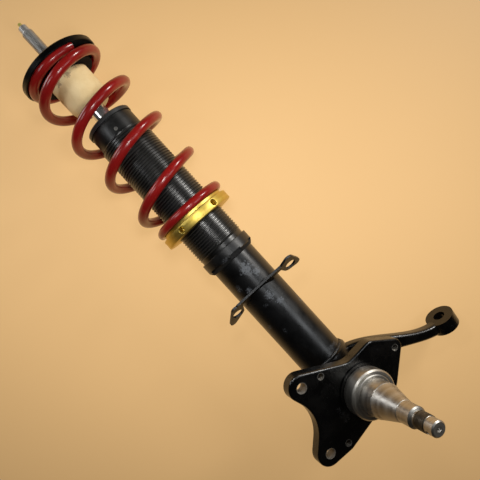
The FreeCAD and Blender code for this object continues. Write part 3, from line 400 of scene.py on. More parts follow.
axleLine = (axleStart, axleWay)
paints = {
    # scuffs: scale, amount; specks: scale, cover; skin: fine scale, coarse scale, share of the coarse;
    # bump: strength, depth; rough: first tone, second tone, rubbed and painted highlight; marks: place, reach
    "tubePaint": dict(
        colour=(0.0010, 0.0011, 0.0013), second=(0.0022, 0.0024, 0.0028), rubbedAndHighlight=(0.085, 0.093, 0.105),
        speck=(0.06, 0.06, 0.06), rough=(0.26, 0.36, 0.50), patchScale=38.0, scuffs=(850.0, 0.24),
        specks=(520.0, 0.35), skin=(900.0, 70.0, 0.8), bump=(0.25, 0.12), markScale=430.0,
        # placed marks on the tube's front where the light strikes it: partly real scuffs, partly painted
        # highlight
        marks=[((-2, -25, 190), 19), ((4, -25, 182), 12), ((-3, -25, 155), 13), ((1, -25, 144), 11),
               ((-14, -20, 172), 9)]),
    "collarPaint": dict(
        colour=(0.0022, 0.0024, 0.0028), second=(0.0034, 0.0036, 0.0040), rubbedAndHighlight=(0.07, 0.075, 0.085),
        speck=(0.06, 0.06, 0.06), rough=(0.34, 0.44, 0.55), patchScale=60.0, scuffs=(850.0, 0.2),
        specks=(520.0, 0.35), skin=(700.0, 90.0, 0.8), bump=(0.35, 0.15), recess=28.4),
    "seatPaint": dict(
        colour=(0.0010, 0.0010, 0.0011), second=(0.0018, 0.0018, 0.0018), rubbedAndHighlight=(0.03, 0.03, 0.03),
        speck=(0.03, 0.03, 0.03), rough=(0.26, 0.34, 0.5), patchScale=50.0, scuffs=(800.0, 0.15),
        specks=(600.0, 0.2), skin=(700.0, 120.0, 0.8), bump=(0.25, 0.12), specular=0.25, recess=43.6),
    "castingPaint": dict(
        colour=(0.0008, 0.0008, 0.0009), second=(0.0018, 0.0017, 0.0016), rubbedAndHighlight=(0.03, 0.03, 0.032),
        speck=(0.03, 0.027, 0.024), rough=(0.20, 0.33, 0.5), patchScale=60.0, scuffs=(700.0, 0.12),
        specks=(420.0, 0.3), skin=(520.0, 110.0, 1.4), bump=(0.5, 0.25), bores=castingBores),
    "bracketPaint": dict(
        colour=(0.0014, 0.0013, 0.0012), second=(0.0030, 0.0028, 0.0025), rubbedAndHighlight=(0.09, 0.095, 0.10),
        speck=(0.06, 0.05, 0.04), rough=(0.36, 0.46, 0.5), patchScale=75.0, scuffs=(700.0, 0.15),
        # the front edge's lighter grey is a painted highlight
        specks=(420.0, 0.4), skin=(600.0, 130.0, 0.8), bump=(0.3, 0.15), frontHighlight=0.8),
    "weldPaint": dict(
        colour=(0.0030, 0.0030, 0.0032), second=(0.010, 0.010, 0.010), rubbedAndHighlight=(0.07, 0.07, 0.075),
        speck=(0.08, 0.07, 0.06), rough=(0.30, 0.42, 0.55), patchScale=160.0, scuffs=(900.0, 0.4),
        specks=(520.0, 0.5), skin=(900.0, 220.0, 1.2), bump=(0.6, 0.25)),
    "springPaint": dict(
        colour=(0.270, 0.0090, 0.0078), second=(0.210, 0.0064, 0.0058), rubbedAndHighlight=(0.30, 0.02, 0.018),
        speck=(0.32, 0.06, 0.05), rough=(0.30, 0.38, 0.5), patchScale=26.0, scuffs=(600.0, 0.05),
        specks=(300.0, 0.15), skin=(430.0, 160.0, 0.7), bump=(0.25, 0.12), coat=0.65, coatRough=0.17,
        specular=0.1),
    "foam": dict(
        colour=(0.88, 0.66, 0.33), second=(0.95, 0.75, 0.42), rubbedAndHighlight=(0.52, 0.38, 0.22),
        speck=(0.50, 0.36, 0.20), rough=(0.75, 0.85, 0.9), patchScale=42.0, scuffs=(330.0, 0.10),
        specks=(760.0, 0.9), skin=(900.0, 160.0, 0.9), bump=(0.6, 0.35), specular=0.25, markScale=420.0,
        marks=[((-3, -22, 457), 11), ((-15, -16, 456), 10), ((8, -20, 459), 7)]),
    "sealRubber": dict(
        colour=(0.012, 0.012, 0.012), second=(0.018, 0.017, 0.016), rubbedAndHighlight=(0.04, 0.04, 0.04),
        speck=(0.05, 0.05, 0.05), rough=(0.5, 0.6, 0.7), patchScale=80.0, scuffs=(900.0, 0.1),
        specks=(900.0, 0.2), skin=(1500.0, 200.0, 0.4), bump=(0.3, 0.08)),
    "bandPlastic": dict(
        colour=(0.55, 0.53, 0.48), second=(0.48, 0.46, 0.42), rubbedAndHighlight=(0.35, 0.34, 0.3),
        speck=(0.3, 0.28, 0.25), rough=(0.4, 0.5, 0.6), patchScale=80.0, scuffs=(900.0, 0.1),
        specks=(900.0, 0.2), skin=(1500.0, 200.0, 0.4), bump=(0.2, 0.05)),
}

turned = {
    # stains: scale, threshold; specks: scale, cover; bump: strength, depth; rough: first, second, stain;
    # crest: from this radius; above: from this height; dirty: between these lengths; each with its own
    # colour and roughness
    "sleeveAnodised": dict(
        colour=(0.0007, 0.0007, 0.0008), second=(0.0010, 0.0010, 0.0011), stain=(0.0020, 0.0018, 0.0016),
        speck=(0.05, 0.05, 0.05), rough=(0.30, 0.34, 0.40), spacing=0.35, stains=(46.0, 0.55),
        specks=(900.0, 0.2), bump=(0.04, 0.03), metallic=0.0, specular=0.6,
        # lighter crests: partly wear, partly a painted reflection of the table
        crest=(27.5, (0.026, 0.025, 0.023), 0.24)),
    "glandAnodised": dict(
        colour=(0.0028, 0.0030, 0.0030), second=(0.0042, 0.0044, 0.0044), stain=(0.010, 0.0105, 0.010),
        speck=(0.09, 0.09, 0.09), rough=(0.34, 0.40, 0.48), spacing=0.35, stains=(70.0, 0.5),
        specks=(800.0, 0.3), bump=(0.10, 0.03), metallic=0.1, above=(395.2, (0.024, 0.026, 0.027), 0.42)),
    "goldAnodised": dict(
        colour=(0.60, 0.44, 0.09), second=(0.67, 0.50, 0.12), stain=(0.50, 0.36, 0.05),
        speck=(0.35, 0.22, 0.05), rough=(0.40, 0.45, 0.50), spacing=0.30, stains=(30.0, 0.52),
        specks=(700.0, 0.1), bump=(0.30, 0.05)),
    "chrome": dict(
        colour=(0.72, 0.72, 0.72), second=(0.78, 0.78, 0.78), stain=(0.60, 0.58, 0.54),
        speck=(0.4, 0.38, 0.35), rough=(0.15, 0.18, 0.24), spacing=0.25, stains=(40.0, 0.6),
        specks=(900.0, 0.1), bump=(0.04, 0.02), above=(470.0, (0.70, 0.68, 0.65), 0.42), metallic=0.9),
    "bareSteel": dict(
        colour=(0.40, 0.38, 0.35), second=(0.50, 0.48, 0.44), stain=(0.25, 0.21, 0.16),
        speck=(0.05, 0.04, 0.03), rough=(0.36, 0.46, 0.55), spacing=0.45, stains=(55.0, 0.56),
        specks=(520.0, 0.25), bump=(0.35, 0.06), line=axleLine,
        dirty=(117.4, 129.8, (0.075, 0.066, 0.052), 0.5)),
    "zincSteel": dict(
        colour=(0.17, 0.165, 0.155), second=(0.22, 0.215, 0.20), stain=(0.12, 0.115, 0.11),
        speck=(0.3, 0.3, 0.28), rough=(0.38, 0.44, 0.5), spacing=0.35, stains=(90.0, 0.5),
        specks=(900.0, 0.1), bump=(0.10, 0.03), metallic=0.7),
    "dirtySteel": dict(
        colour=(0.11, 0.10, 0.085), second=(0.17, 0.155, 0.13), stain=(0.030, 0.025, 0.020),
        speck=(0.02, 0.018, 0.015), rough=(0.42, 0.50, 0.6), spacing=0.40, stains=(120.0, 0.42),
        specks=(600.0, 0.6), bump=(0.30, 0.06), line=axleLine, metallic=0.8),
    "brass": dict(
        colour=(0.62, 0.55, 0.14), second=(0.70, 0.62, 0.18), stain=(0.42, 0.38, 0.10),
        speck=(0.3, 0.25, 0.1), rough=(0.30, 0.36, 0.42), spacing=0.25, stains=(200.0, 0.5),
        specks=(900.0, 0.2), bump=(0.2, 0.04), metallic=0.4),
    "bronze": dict(
        colour=(0.55, 0.36, 0.17), second=(0.62, 0.42, 0.22), stain=(0.36, 0.22, 0.10),
        speck=(0.2, 0.12, 0.06), rough=(0.3, 0.38, 0.45), spacing=0.3, stains=(90.0, 0.5),
        specks=(900.0, 0.2), bump=(0.2, 0.05)),
    "innerSteel": dict(
        colour=(0.42, 0.42, 0.42), second=(0.52, 0.52, 0.52), stain=(0.32, 0.31, 0.29),
        speck=(0.2, 0.2, 0.2), rough=(0.2, 0.28, 0.36), spacing=0.35, stains=(60.0, 0.55),
        specks=(900.0, 0.1), bump=(0.2, 0.05)),
    "innerAlloy": dict(
        colour=(0.62, 0.63, 0.65), second=(0.72, 0.73, 0.75), stain=(0.5, 0.5, 0.52),
        speck=(0.3, 0.3, 0.3), rough=(0.28, 0.36, 0.44), spacing=0.35, stains=(60.0, 0.55),
        specks=(900.0, 0.1), bump=(0.2, 0.05)),
}

finishes = {name: makePaint(name, look) for name, look in paints.items()}
finishes.update({name: makeTurned(name, look) for name, look in turned.items()})

nodeFinish = {
    "strut_tube": "tubePaint", "knuckle": "castingPaint", "stub_axle": "bareSteel",
    "hose_bracket": "bracketPaint", "support_collar": "collarPaint",
    "threaded_sleeve": "sleeveAnodised", "gland_nut": "glandAnodised",
    "gland_lock_screw": "zincSteel", "spring_seat_ring": "goldAnodised", "coil_spring": "springPaint",
    "bump_stop": "foam", "upper_spring_seat": "seatPaint", "piston_rod": "chrome", "adjuster_screw": "brass",
    "tube_foot_plug": "innerSteel", "pressure_tube": "innerSteel", "foot_valve": "innerAlloy",
    "foot_valve_disc": "innerSteel", "foot_valve_rivet": "innerSteel", "rod_guide": "innerAlloy",
    "guide_bush": "bronze", "guide_o_ring": "sealRubber", "rod_seal": "sealRubber", "rod_wiper": "sealRubber",
    "piston": "innerAlloy", "piston_band": "bandPlastic", "compression_shims": "innerSteel",
    "rebound_shims": "innerSteel", "piston_nut": "zincSteel", "rebound_stop": "sealRubber",
    "metering_needle": "brass",
}
for nodeName, finish in nodeFinish.items():
    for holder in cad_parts[nodeName].material_slots:
        holder.link = "OBJECT"
        holder.material = finishes[finish]
print("finishes set on", len(nodeFinish), "nodes")


# Mesh helpers

weldReach = 0.02    # points of a thread that lie closer than this become one
crispAngle = 28     # from this angle on, an edge of a thread or of the turned ring stays sharp


def newPiece(name, points, faces, finish, sharpAngle=35.0, weld=False):
    mesh = bpy.data.meshes.new(name)
    mesh.from_pydata(points, [], faces)
    mesh.validate()
    work = bmesh.new()
    work.from_mesh(mesh)
    if weld:
        bmesh.ops.remove_doubles(work, verts=work.verts, dist=weldReach * mm)
        bmesh.ops.dissolve_degenerate(work, edges=work.edges, dist=weldReach / 2 * mm)
    bmesh.ops.recalc_face_normals(work, faces=work.faces)
    work.to_mesh(mesh)
    work.free()
    mesh.polygons.foreach_set("use_smooth", [True] * len(mesh.polygons))
    mesh.set_sharp_from_angle(angle=math.radians(sharpAngle))
    piece = bpy.data.objects.new(name, mesh)
    piece.data.materials.append(finishes[finish])
    bpy.context.scene.collection.objects.link(piece)
    return piece


def gridFaces(rows, around, ends=""):
    # quads between closed rows of points; the two ends stay open, or are "capped" or "joined"
    faces = []
    for row in range(rows if ends == "joined" else rows - 1):
        here, there = row * around, (row + 1) % rows * around
        for column in range(around):
            after = (column + 1) % around
            faces.append((here + column, here + after, there + after, there + column))
    if ends == "capped":
        faces += [tuple(range(around)), tuple(range((rows - 1) * around, rows * around))]
    return faces


def turns(count):
    return [2 * math.pi * index / count for index in range(count)]


def spoke(angle, first=Vector((1, 0, 0)), second=Vector((0, 1, 0))):
    return first * math.cos(angle) + second * math.sin(angle)


def aroundStrut(angle, radius, height):
    return Vector((radius * math.cos(angle), radius * math.sin(angle), height)) * mm


def aroundAxle(angle, radius, distance, side=0.0, up=0.0):
    return onAxle(distance, side + radius * math.cos(angle), up + radius * math.sin(angle))


def storeValues(piece, **lists):
    for label, numbers in lists.items():
        piece.data.attributes.new(label, "FLOAT", "POINT").data.foreach_set("value", numbers)


def ramp(spot, knots):
    for (start, low), (end, high) in zip(knots, knots[1:]):
        if spot <= end:
            return low + (high - low) * (spot - start) / (end - start)
    return knots[-1][1]


# Coil spring: the wire's centre line is counted in turns down from the tip under the upper seat

spring = {
    "wire": 10.7, "turns": 5.5, "foot": 270.0, "top": 473.2, "startAngle": -65.2, "travel": 42.0,
    "pitches": [(0, 5.778), (0.7, 5.778), (0.95, 35.82), (1.5, 49.75), (4.62, 49.75), (4.95, 2.996),
                (5.5, 2.996)],   # at so many turns, the pitch, and below the radius
    "radii": [(0, 37.1), (0.45, 37.1), (1.45, 42.0), (4.35, 42.0), (4.95, 37.1), (5.5, 37.1)],
    "topSunk": 0.22, "footSunk": 0.25,   # the end centre lines' depth in the ground ends, in wires
    "endGap": 0.05, "stationsPerTurn": 60, "around": 20,
}


def springLine(shape):
    # stations along the wire: the centre, its rise over the foot with all turns closed, and what opens
    turnsAll, pitches, foot = shape["turns"], shape["pitches"], shape["foot"]
    stations = int(shape["stationsPerTurn"] * turnsAll)
    step = turnsAll / stations
    falls, closed = [0.0], [0.0]   # all the fall so far, and the part of it that the load can't close
    for index in range(stations):
        spot = (index + 0.5) * step
        fall = ramp(spot, pitches) * step
        closedPitch = pitches[0 if spot < turnsAll / 2 else -1][1]
        falls.append(falls[-1] + fall)
        closed.append(closed[-1] + min(fall, closedPitch * step))
    topLine = shape["top"] - shape["topSunk"] * shape["wire"]
    footSunk = shape["footSunk"] * shape["wire"]
    stretch = (topLine - foot - footSunk) / falls[-1]
    line = []
    for index in range(stations + 1):
        angle = math.radians(shape["startAngle"]) - 2 * math.pi * index * step
        height = topLine - falls[index] * stretch
        centre = spoke(angle) * ramp(index * step, shape["radii"]) + Vector((0, 0, height))
        stiff = footSunk + (closed[-1] - closed[index]) * stretch
        line.append((centre, stiff, height - foot - stiff))
    return line, closed[-1] * stretch + (shape["footSunk"] + shape["topSunk"]) * shape["wire"]


def makeSpring(shape):
    line, stiffAll = springLine(shape)
    centres = [centre for centre, _, _ in line]
    low, high = shape["foot"] + shape["endGap"], shape["top"] - shape["endGap"]
    points, stiffs, opens, lifts = [], [], [], []
    for index, (centre, stiff, opened) in enumerate(line):
        along = (centres[min(len(line) - 1, index + 1)] - centres[max(0, index - 1)]).normalized()
        outward = Vector((centre.x, centre.y, 0)).normalized()
        outward = (outward - along * outward.dot(along)).normalized()
        for angle in turns(shape["around"]):
            spot = centre + spoke(angle, outward, along.cross(outward)) * shape["wire"] / 2
            lifts.append((spot.z - centre.z) * mm)
            spot.z = min(max(spot.z, low), high)
            points.append(spot * mm)
            stiffs.append(stiff * mm)
            opens.append(opened * mm)
    faces = gridFaces(len(line), shape["around"], "capped")
    piece = newPiece("coilSpring", points, faces, "springPaint", sharpAngle=50)
    storeValues(piece, stiffRise=stiffs, openRise=opens, lift=lifts)
    length = shape["top"] - shape["foot"]
    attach(piece, "spring")
    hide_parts("coil_spring")
    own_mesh(piece)
    addSpringFold(piece, shape, length, stiffAll)
    return piece


def newFold(piece, name):
    tree = bpy.data.node_groups.new(name, "GeometryNodeTree")
    for way in ("INPUT", "OUTPUT"):
        tree.interface.new_socket("Geometry", in_out=way, socket_type="NodeSocketGeometry")
    kinds = ("NodeGroupInput", "NodeGroupOutput", "GeometryNodeSetPosition", "GeometryNodeInputPosition",
             "ShaderNodeSeparateXYZ", "ShaderNodeCombineXYZ", "GeometryNodeAttributeStatistic")
    entry, leave, move, position, apart, together, spread = (tree.nodes.new(kind) for kind in kinds)
    for source, socket in (
            (entry.outputs[0], move.inputs["Geometry"]), (move.outputs["Geometry"], leave.inputs[0]),
            (position.outputs[0], apart.inputs[0]), (entry.outputs[0], spread.inputs["Geometry"]),
            (apart.outputs["Z"], spread.inputs["Attribute"]), (together.outputs[0], move.inputs["Position"])):
        feed(tree, source, socket)
    piece.modifiers.new(name, "NODES").node_group = tree
    return tree, apart.outputs, spread.outputs, together.inputs


def storedValue(tree, label):
    node = tree.nodes.new("GeometryNodeInputNamedAttribute")
    node.data_type = "FLOAT"
    node.inputs["Name"].default_value = label
    return node.outputs["Attribute"]


def addSpringFold(piece, shape, length, stiffAll):
    # squash flattens the wire too, so each height is worked out again: the wire stays round,
    # the closed ends stay closed and only the open turns come closer
    tree, apart, spread, together = newFold(piece, "springFold")
    foot, gap = shape["foot"] * mm, shape["endGap"] * mm
    squeezed = calculate(tree, "SUBTRACT", spread["Max"], foot)
    share = calculate(tree, "DIVIDE", squeezed, length * mm - gap)
    long = calculate(tree, "MULTIPLY", share, length * mm)
    opening = calculate(tree, "SUBTRACT", long, stiffAll * mm)
    opened = calculate(tree, "DIVIDE", opening, (length - stiffAll) * mm)
    rise = calculate(tree, "MULTIPLY_ADD", storedValue(tree, "openRise"), opened,
                     storedValue(tree, "stiffRise"))
    height = calculate(tree, "ADD", calculate(tree, "ADD", rise, storedValue(tree, "lift")), foot)
    top = calculate(tree, "ADD", long, foot - gap)
    height = calculate(tree, "MINIMUM", calculate(tree, "MAXIMUM", height, foot + gap), top)
    for axis, source in (("X", apart["X"]), ("Y", apart["Y"]), ("Z", height)):
        feed(tree, source, together[axis])


coilSpring = makeSpring(spring)
print("coil spring wound:", len(coilSpring.data.vertices), "points")


# Bump stop

stop = {
    "foot": 420.0, "top": 461.0, "taper": 12.0, "radius": 22.5, "endRadius": 18.5, "bore": 9.1, "edge": 2.2,
    "corner": (22, 45, 68), "taperSteps": 10, "sideSteps": 12, "boreSteps": 8, "around": 96,
    "wave": 0.22, "waveScale": 0.16, "waveSink": 0.1,
    "travel": 42.0, "room": 58.4, "keep": 0.4, "bulge": 0.2,
}


def stopProfile(shape):
    foot, top, radius, end, edge = (shape[key] for key in ("foot", "top", "radius", "endRadius", "edge"))
    bore, shoulder = shape["bore"], shape["foot"] + shape["taper"]
    corner = [math.radians(angle) for angle in shape["corner"]]
    profile = [(bore, foot), (end - edge, foot)]
    profile += [(end - edge + edge * math.sin(a), foot + edge - edge * math.cos(a)) for a in corner]
    for share in (step / shape["taperSteps"] for step in range(shape["taperSteps"] + 1)):
        across = end + (radius - end) * math.sin(math.pi / 2 * share)
        profile.append((across, foot + edge + (shape["taper"] - edge) * share))
    steps = shape["sideSteps"]
    profile += [(radius, shoulder + (top - edge - shoulder) * i / steps) for i in range(1, steps + 1)]
    profile += [(radius - edge + edge * math.cos(a), top - edge + edge * math.sin(a)) for a in corner]
    steps = shape["boreSteps"]
    profile += [(radius - edge, top)]
    return profile + [(bore, top + (foot - top) * i / steps) for i in range(steps)]


def makeStop(shape):
    profile = stopProfile(shape)
    points = []
    for across, height in profile:
        for angle in turns(shape["around"]):
            spot = spoke(angle) * across + Vector((0, 0, height))
            if across > shape["bore"]:
                wave = shape["wave"] * noise.noise(spot * shape["waveScale"]) - shape["waveSink"]
                spot += spoke(angle) * wave
            points.append(spot * mm)
    faces = gridFaces(len(profile), shape["around"], "joined")
    piece = newPiece("bumpStopFoam", points, faces, "foam", sharpAngle=60)
    storeValues(piece, restHeight=[vertex.co.z for vertex in piece.data.vertices])
    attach(piece, "rod")
    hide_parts("bump_stop")
    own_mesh(piece)
    addStopFold(piece, shape)
    return piece


def addStopFold(piece, shape):
    # the foam keeps its length until the gland nut meets it, then it shortens and bulges
    tree, apart, spread, together = newFold(piece, "foamFold")
    high, full = shape["top"] * mm, (shape["top"] - shape["foot"]) * mm
    tall = calculate(tree, "SUBTRACT", high, spread["Min"])
    gone = calculate(tree, "SUBTRACT", 1.0, calculate(tree, "DIVIDE", tall, full))
    travel = calculate(tree, "MULTIPLY", gone, shape["travel"] * mm / (1 - shape["keep"]))
    left = calculate(tree, "MINIMUM", calculate(tree, "SUBTRACT", shape["room"] * mm, travel), full)
    share = calculate(tree, "DIVIDE", left, full)
    below = calculate(tree, "SUBTRACT", high, storedValue(tree, "restHeight"))
    height = calculate(tree, "SUBTRACT", high, calculate(tree, "MULTIPLY", below, share))
    wide = calculate(tree, "MULTIPLY_ADD", calculate(tree, "SUBTRACT", 1.0, share), shape["bulge"], 1.0)
    for axis in "XY":
        feed(tree, calculate(tree, "MULTIPLY", apart[axis], wide), together[axis])
    feed(tree, height, together["Z"])


bumpStop = makeStop(stop)
print("bump stop moulded:", len(bumpStop.data.vertices), "points")


# Threads: one skewed grid whose last column joins its first a pitch further up

# rows of one turn's profile: share of the pitch, share of the depth
wideRows = [(0.0, 1.0), (0.24, 1.0), (0.5, 0.0), (0.74, 0.0)]
fineRows = [(0.0, 1.0), (0.2, 1.0), (0.5, 0.0), (0.7, 0.0)]
sleeve = {
    "pitch": 3.0, "crest": 27.8, "root": 26.6, "foot": 221.0, "neck": 3.0, "top": 376.5, "bore": 25.1,
    "around": 64, "rows": wideRows,
}
stud = {
    "pitch": 1.25, "crest": 6.14, "root": 5.9, "foot": 480.0, "neck": 1.2, "top": 525.5, "around": 40,
    "rows": fineRows,
}
axleThread = {
    "pitch": 1.5, "crest": 8.1, "root": 7.86, "foot": 118.2, "neck": 0.6, "top": 129.4, "around": 48,
    "rows": fineRows,
}
shieldThread = {
    "pitch": 1.25, "crest": 2.95, "root": 3.42, "foot": 29.2, "neck": 0.8, "top": 40.2, "around": 24,
    "rows": fineRows,
}
runOut = 0.6   # pitches over which a thread fades out at its top


def threadGrid(shape, locate, middle=()):
    # locate(angle, radius, height, *middle) puts a point of the grid where it belongs
    pitch, rows, around = shape["pitch"], shape["rows"], shape["around"]
    foot, start, top = shape["foot"], shape["foot"] + shape["neck"], shape["top"]
    turnsAll = int((top - foot) / pitch) + 3
    points, spots = [], {}
    for turn in range(turnsAll):
        for row, (share, high) in enumerate(rows):
            for column, angle in enumerate(turns(around)):
                height = foot + (turn - 1 + share + column / around) * pitch
                fade = min(max((height - start) / pitch, 0), 1)
                fade *= min(max((top - height) / (runOut * pitch), 0), 1)
                radius = shape["root"] + (shape["crest"] - shape["root"]) * high * fade
                spots[turn * len(rows) + row, column] = len(points)
                points.append(locate(angle, radius, min(max(height, foot), top), *middle))
    faces = []
    for line in range(turnsAll * len(rows) - 1):
        for column in range(around):
            nextLine, after = (line, column + 1) if column + 1 < around else (line + len(rows), 0)
            corners = ((line, column), (nextLine, after), (nextLine + 1, after), (line + 1, column))
            if all(corner in spots for corner in corners):
                faces.append(tuple(spots[corner] for corner in corners))
    return points, faces


def makeThread(name, finish, points, faces):
    # the rows past each end lie on one ring there, and are welded away
    return newPiece(name, points, faces, finish, sharpAngle=crispAngle, weld=True)


def makeSleeve(shape):
    points, faces = threadGrid(shape, aroundStrut)
    rings = [(shape["root"], shape["foot"]), (shape["bore"], shape["foot"]),
             (shape["bore"], shape["top"]), (shape["root"], shape["top"])]
    start = len(points)
    points += [aroundStrut(angle, radius, height)
               for radius, height in rings for angle in turns(shape["around"])]
    faces += [tuple(start + corner for corner in face) for face in gridFaces(len(rings), shape["around"])]
    piece = makeThread("sleeveThread", "sleeveAnodised", points, faces)
    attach(piece, "housing")
    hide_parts("threaded_sleeve")
    return piece


sleeveThread = makeSleeve(sleeve)
studThread = makeThread("studThread", "zincSteel", *threadGrid(stud, aroundStrut))
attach(studThread, "rod")
print("threads cut:", len(sleeveThread.data.vertices), "points on the sleeve")

housingThreads = [("axleThread", axleThread, (0, 0))]
for number, hole in enumerate(shieldHoles, 1):
    housingThreads.append(("shieldThread%d" % number, shieldThread, hole))
for threadName, shape, middle in housingThreads:
    housingThread = makeThread(threadName, "dirtySteel", *threadGrid(shape, aroundAxle, middle))
    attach(housingThread, "housing")
print("threads cut on the axle and in the shield holes")


# Spring seat ring: a band with spanner holes, a narrower step under the spring

seatRing = {
    "bore": 28.1, "band": 41.5, "foot": 256.5, "bandTop": 266.3, "step": 37.6, "top": 270.0,
    "register": 31.3, "crown": 274.0, "around": 144,
    "edge": 0.7, "roundShare": 0.3, "boreEdge": 0.8, "stepEdge": 0.6, "topEdge": 0.5,
}
spanner = {
    "holes": 6, "radius": 3.25, "floor": 33.5, "point": 1.6, "tip": 0.05, "sink": 0.5, "past": 3.0,
    "height": 261.4, "turn": 21.6, "around": 32,
}


def spannerDrill(shape, band, angle):
    # a pointed drill with a wider mouth, laid along a spoke of the ring
    wide = shape["radius"] + 2 * shape["sink"]
    steps = [(shape["floor"] - shape["point"], shape["tip"]), (shape["floor"], shape["radius"]),
             (band - shape["sink"], shape["radius"]), (band + shape["sink"], wide),
             (band + shape["past"], wide)]
    out, side, rise = spoke(angle), spoke(angle + math.pi / 2), Vector((0, 0, 1))
    points = [(rise * shape["height"] + out * far + spoke(turn, side, rise) * radius) * mm
              for far, radius in steps for turn in turns(shape["around"])]
    faces = gridFaces(len(steps), shape["around"], "capped")
    return newPiece("spannerDrill", points, faces, "goldAnodised")


def makeSeatRing(shape):
    bore, band, step, register = (shape[key] for key in ("bore", "band", "step", "register"))
    foot, bandTop, top, crown = (shape[key] for key in ("foot", "bandTop", "top", "crown"))
    edge, boreEdge = shape["edge"], shape["boreEdge"]
    stepEdge, topEdge = shape["stepEdge"], shape["topEdge"]
    soft = shape["roundShare"] * edge
    profile = [(bore, foot + boreEdge), (bore + boreEdge, foot), (band - edge, foot),
               (band - soft, foot + soft), (band, foot + edge), (band, bandTop - edge),
               (band - soft, bandTop - soft), (band - edge, bandTop), (step + stepEdge, bandTop),
               (step, bandTop + stepEdge), (step, top - topEdge), (step - topEdge, top), (register, top),
               (register, crown - boreEdge), (register - boreEdge, crown), (bore, crown)]
    points = [aroundStrut(angle, radius, height)
              for radius, height in profile for angle in turns(shape["around"])]
    faces = gridFaces(len(profile), shape["around"], "joined")
    piece = newPiece("seatRing", points, faces, "goldAnodised")
    drills = []
    for number in range(spanner["holes"]):
        angle = math.radians(spanner["turn"] - 90 + 360 * number / spanner["holes"])
        drills.append(spannerDrill(spanner, band, angle))
        cut = piece.modifiers.new("spannerHole", "BOOLEAN")
        cut.operation, cut.solver, cut.object = "DIFFERENCE", "EXACT", drills[-1]
    shaped = bpy.data.meshes.new_from_object(piece.evaluated_get(bpy.context.evaluated_depsgraph_get()))
    piece.modifiers.clear()
    piece.data = shaped
    for drill in drills:
        bpy.data.objects.remove(drill)
    shaped.set_sharp_from_angle(angle=math.radians(crispAngle))
    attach(piece, "seat_ring")
    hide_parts("spring_seat_ring")
    return piece


ringPiece = makeSeatRing(seatRing)
print("seat ring turned and drilled:", len(ringPiece.data.polygons), "faces")


# Weld bead at the foot of the tube

weld = {
    "radius": 1.7, "tube": 25.0, "out": 0.2, "height": 66.3, "around": 12,
    "rippleLength": 2.2, "stepsPerRipple": 3, "ripple": 0.10, "swell": 0.22, "swellScale": 1.3,
}


def makeBead(name, shape):
    # a rippled round bead laid round the tube
    steps = int(2 * math.pi * shape["tube"] / shape["rippleLength"] * shape["stepsPerRipple"])
    path = [spoke(angle) * (shape["tube"] + shape["out"]) + Vector((0, 0, shape["height"]))
            for angle in turns(steps)]
    points = []
    for index, spot in enumerate(path):
        along = (path[(index + 1) % steps] - path[index - 1]).normalized()
        outward = Vector((spot.x, spot.y, 0)).normalized()
        swell = 1 + shape["swell"] * noise.noise(spot * shape["swellScale"])
        swell += shape["ripple"] * math.sin(2 * math.pi * index / shape["stepsPerRipple"])
        for angle in turns(shape["around"]):
            ray = spoke(angle, outward, along.cross(outward))
            points.append((spot + ray * shape["radius"] * swell) * mm)
    faces = gridFaces(steps, shape["around"], "joined")
    piece = newPiece(name, points, faces, "weldPaint", sharpAngle=60)
    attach(piece, "housing")


makeBead("footWeld", weld)
print("weld bead laid at the foot of the tube")


# Table and light

table = {
    "colour": (0.26, 0.165, 0.074), "second": (0.25, 0.158, 0.070), "rough": 0.6, "clouds": (3.0, 0.3, 0.7),
    "glow": (1.0, 0.615, 0.260), "glowMiddle": 0.74, "glowEdge": 0.28,
    "middle": (0, 0, 240),        # the point of the strut that the table is centred behind
    "depth": 50.0, "size": 3000.0,
    "brightSpot": (45.0, 40.0),   # right and up of the middle in the picture
    "fadeReach": 820.0, "fadeUpright": 1.5,
}


def makeTable(look):
    # a plain board that gives off some of its light itself, as under a wide soft ceiling
    middle = Vector(look["middle"]) * mm - viewBack * look["depth"] * mm
    half = look["size"] / 2 * mm
    corners = [middle + viewRight * x * half + viewUp * y * half
               for x, y in ((-1, -1), (1, -1), (1, 1), (-1, 1))]
    mesh = bpy.data.meshes.new("table")
    mesh.from_pydata(corners, [], [(0, 1, 2, 3)])
    piece = bpy.data.objects.new("table", mesh)
    bpy.context.scene.collection.objects.link(piece)
    material, tree, shader = startFinish("tablePaint")
    cloud = addEffect(tree, "mottle", *look["clouds"])["Mask"]
    colour = blend(tree, "RGBA", cloud, rgb(*look["colour"]), rgb(*look["second"]))
    feed(tree, colour, shader.inputs["Base Color"])
    shader.inputs["Roughness"].default_value = look["rough"]
    right, up = look["brightSpot"]
    spot = middle + (viewRight * right + viewUp * up) * mm
    shift = vectorMath(tree, "SUBTRACT", objectPlace(tree), spot)
    squares = []
    for way in (viewRight, viewUp * look["fadeUpright"]):
        squares.append(calculate(tree, "POWER", vectorMath(tree, "DOT_PRODUCT", shift, way), 2.0))
    away = calculate(tree, "SQRT", calculate(tree, "ADD", *squares))
    fade = stretchRange(tree, away, 0.0, look["fadeReach"] * mm)
    strength = blend(tree, "FLOAT", fade, look["glowMiddle"], look["glowEdge"])
    feed(tree, strength, shader.inputs["Emission Strength"])
    shader.inputs["Emission Color"].default_value = rgb(*look["glow"])
    # seen from behind, the table lets the object show
    clear = tree.nodes.new("ShaderNodeBsdfTransparent")
    choose = tree.nodes.new("ShaderNodeMixShader")
    backfacing = tree.nodes.new("ShaderNodeNewGeometry").outputs["Backfacing"]
    for socket, source in zip(choose.inputs, (backfacing, shader.outputs[0], clear.outputs[0])):
        feed(tree, source, socket)
    feed(tree, choose.outputs[0], tree.nodes["Material Output"].inputs["Surface"])
    piece.data.materials.append(material)


makeTable(table)

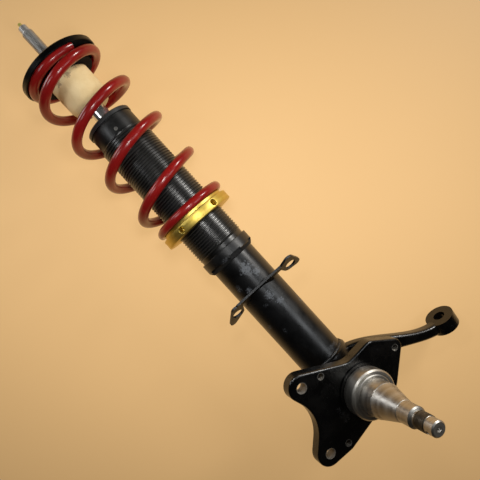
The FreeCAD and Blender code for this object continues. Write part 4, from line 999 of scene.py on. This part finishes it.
lamps = {
    # where each lamp mirrors in the object, and its way from there: towards the camera, and right
    # and up in the picture
    "front": dict(seen=(-9, -46, 308), way=(0.98, 0.17, 0.06), distance=0.25, size=0.07, power=0.36,
                  colour=(1.0, 0.98, 0.95)),
    "frontLow": dict(seen=(-4, -25, 186), way=(0.96, 0.20, 0.08), distance=0.25, size=0.05, power=0.07,
                     colour=(0.95, 0.98, 1.0)),
    "window": dict(seen=(3, -25, 122), way=(0.75, 0.61, 0.28), distance=0.60, size=0.24, power=0.55,
                   colour=(0.93, 0.97, 1.0)),
    "left": dict(seen=(-13, -22, 392), way=(0.80, -0.59, -0.12), distance=0.45, size=0.16, power=0.35,
                 colour=(0.96, 0.98, 1.0)),
    "leftWindow": dict(seen=(0, 0, 240), way=(0.14, -0.88, 0.42), distance=0.9, size=0.35, power=1.5,
                       colour=(0.96, 0.98, 1.0)),
    "sun": dict(seen=(0, 0, 240), way=(0.45, 0.60, 0.66), distance=1.6, size=0.35, power=12.5,
                colour=(1.0, 0.97, 0.92)),
}


def makeLamp(name, look):
    toward, right, up = look["way"]
    way = (viewBack * toward + viewRight * right + viewUp * up).normalized()
    data = bpy.data.lights.new(name, "AREA")
    data.shape = "DISK"
    data.size = look["size"]
    data.energy = look["power"]
    data.color = look["colour"]
    lamp = bpy.data.objects.new(name, data)
    spot = Vector(look["seen"]) * mm + way * look["distance"]
    lamp.matrix_world = Matrix.Translation(spot) @ way.to_track_quat("Z", "Y").to_matrix().to_4x4()
    lamp.visible_camera = False
    bpy.context.scene.collection.objects.link(lamp)


for lampName, lampLook in lamps.items():
    makeLamp(lampName, lampLook)

# the room stays dark in the gloss, and pale where it is looked at past the table
world = bpy.data.worlds.new("room")
world.use_nodes = True
room = world.node_tree
backgrounds = [room.nodes["Background"], room.nodes.new("ShaderNodeBackground")]
roomLooks = [(rgb(1.0, 0.90, 0.76), 0.02), (rgb(0.80, 0.62, 0.40), 0.8)]
for background, (colour, strength) in zip(backgrounds, roomLooks):
    background.inputs["Color"].default_value = colour
    background.inputs["Strength"].default_value = strength
whichRoom = room.nodes.new("ShaderNodeMixShader")
cameraRay = room.nodes.new("ShaderNodeLightPath").outputs["Is Camera Ray"]
for socket, source in zip(whichRoom.inputs, (cameraRay, *(node.outputs[0] for node in backgrounds))):
    feed(room, source, socket)
feed(room, whichRoom.outputs[0], room.nodes["World Output"].inputs["Surface"])
bpy.context.scene.world = world
bpy.context.scene.view_settings.view_transform = "Standard"
print("table, lamps and camera placed")
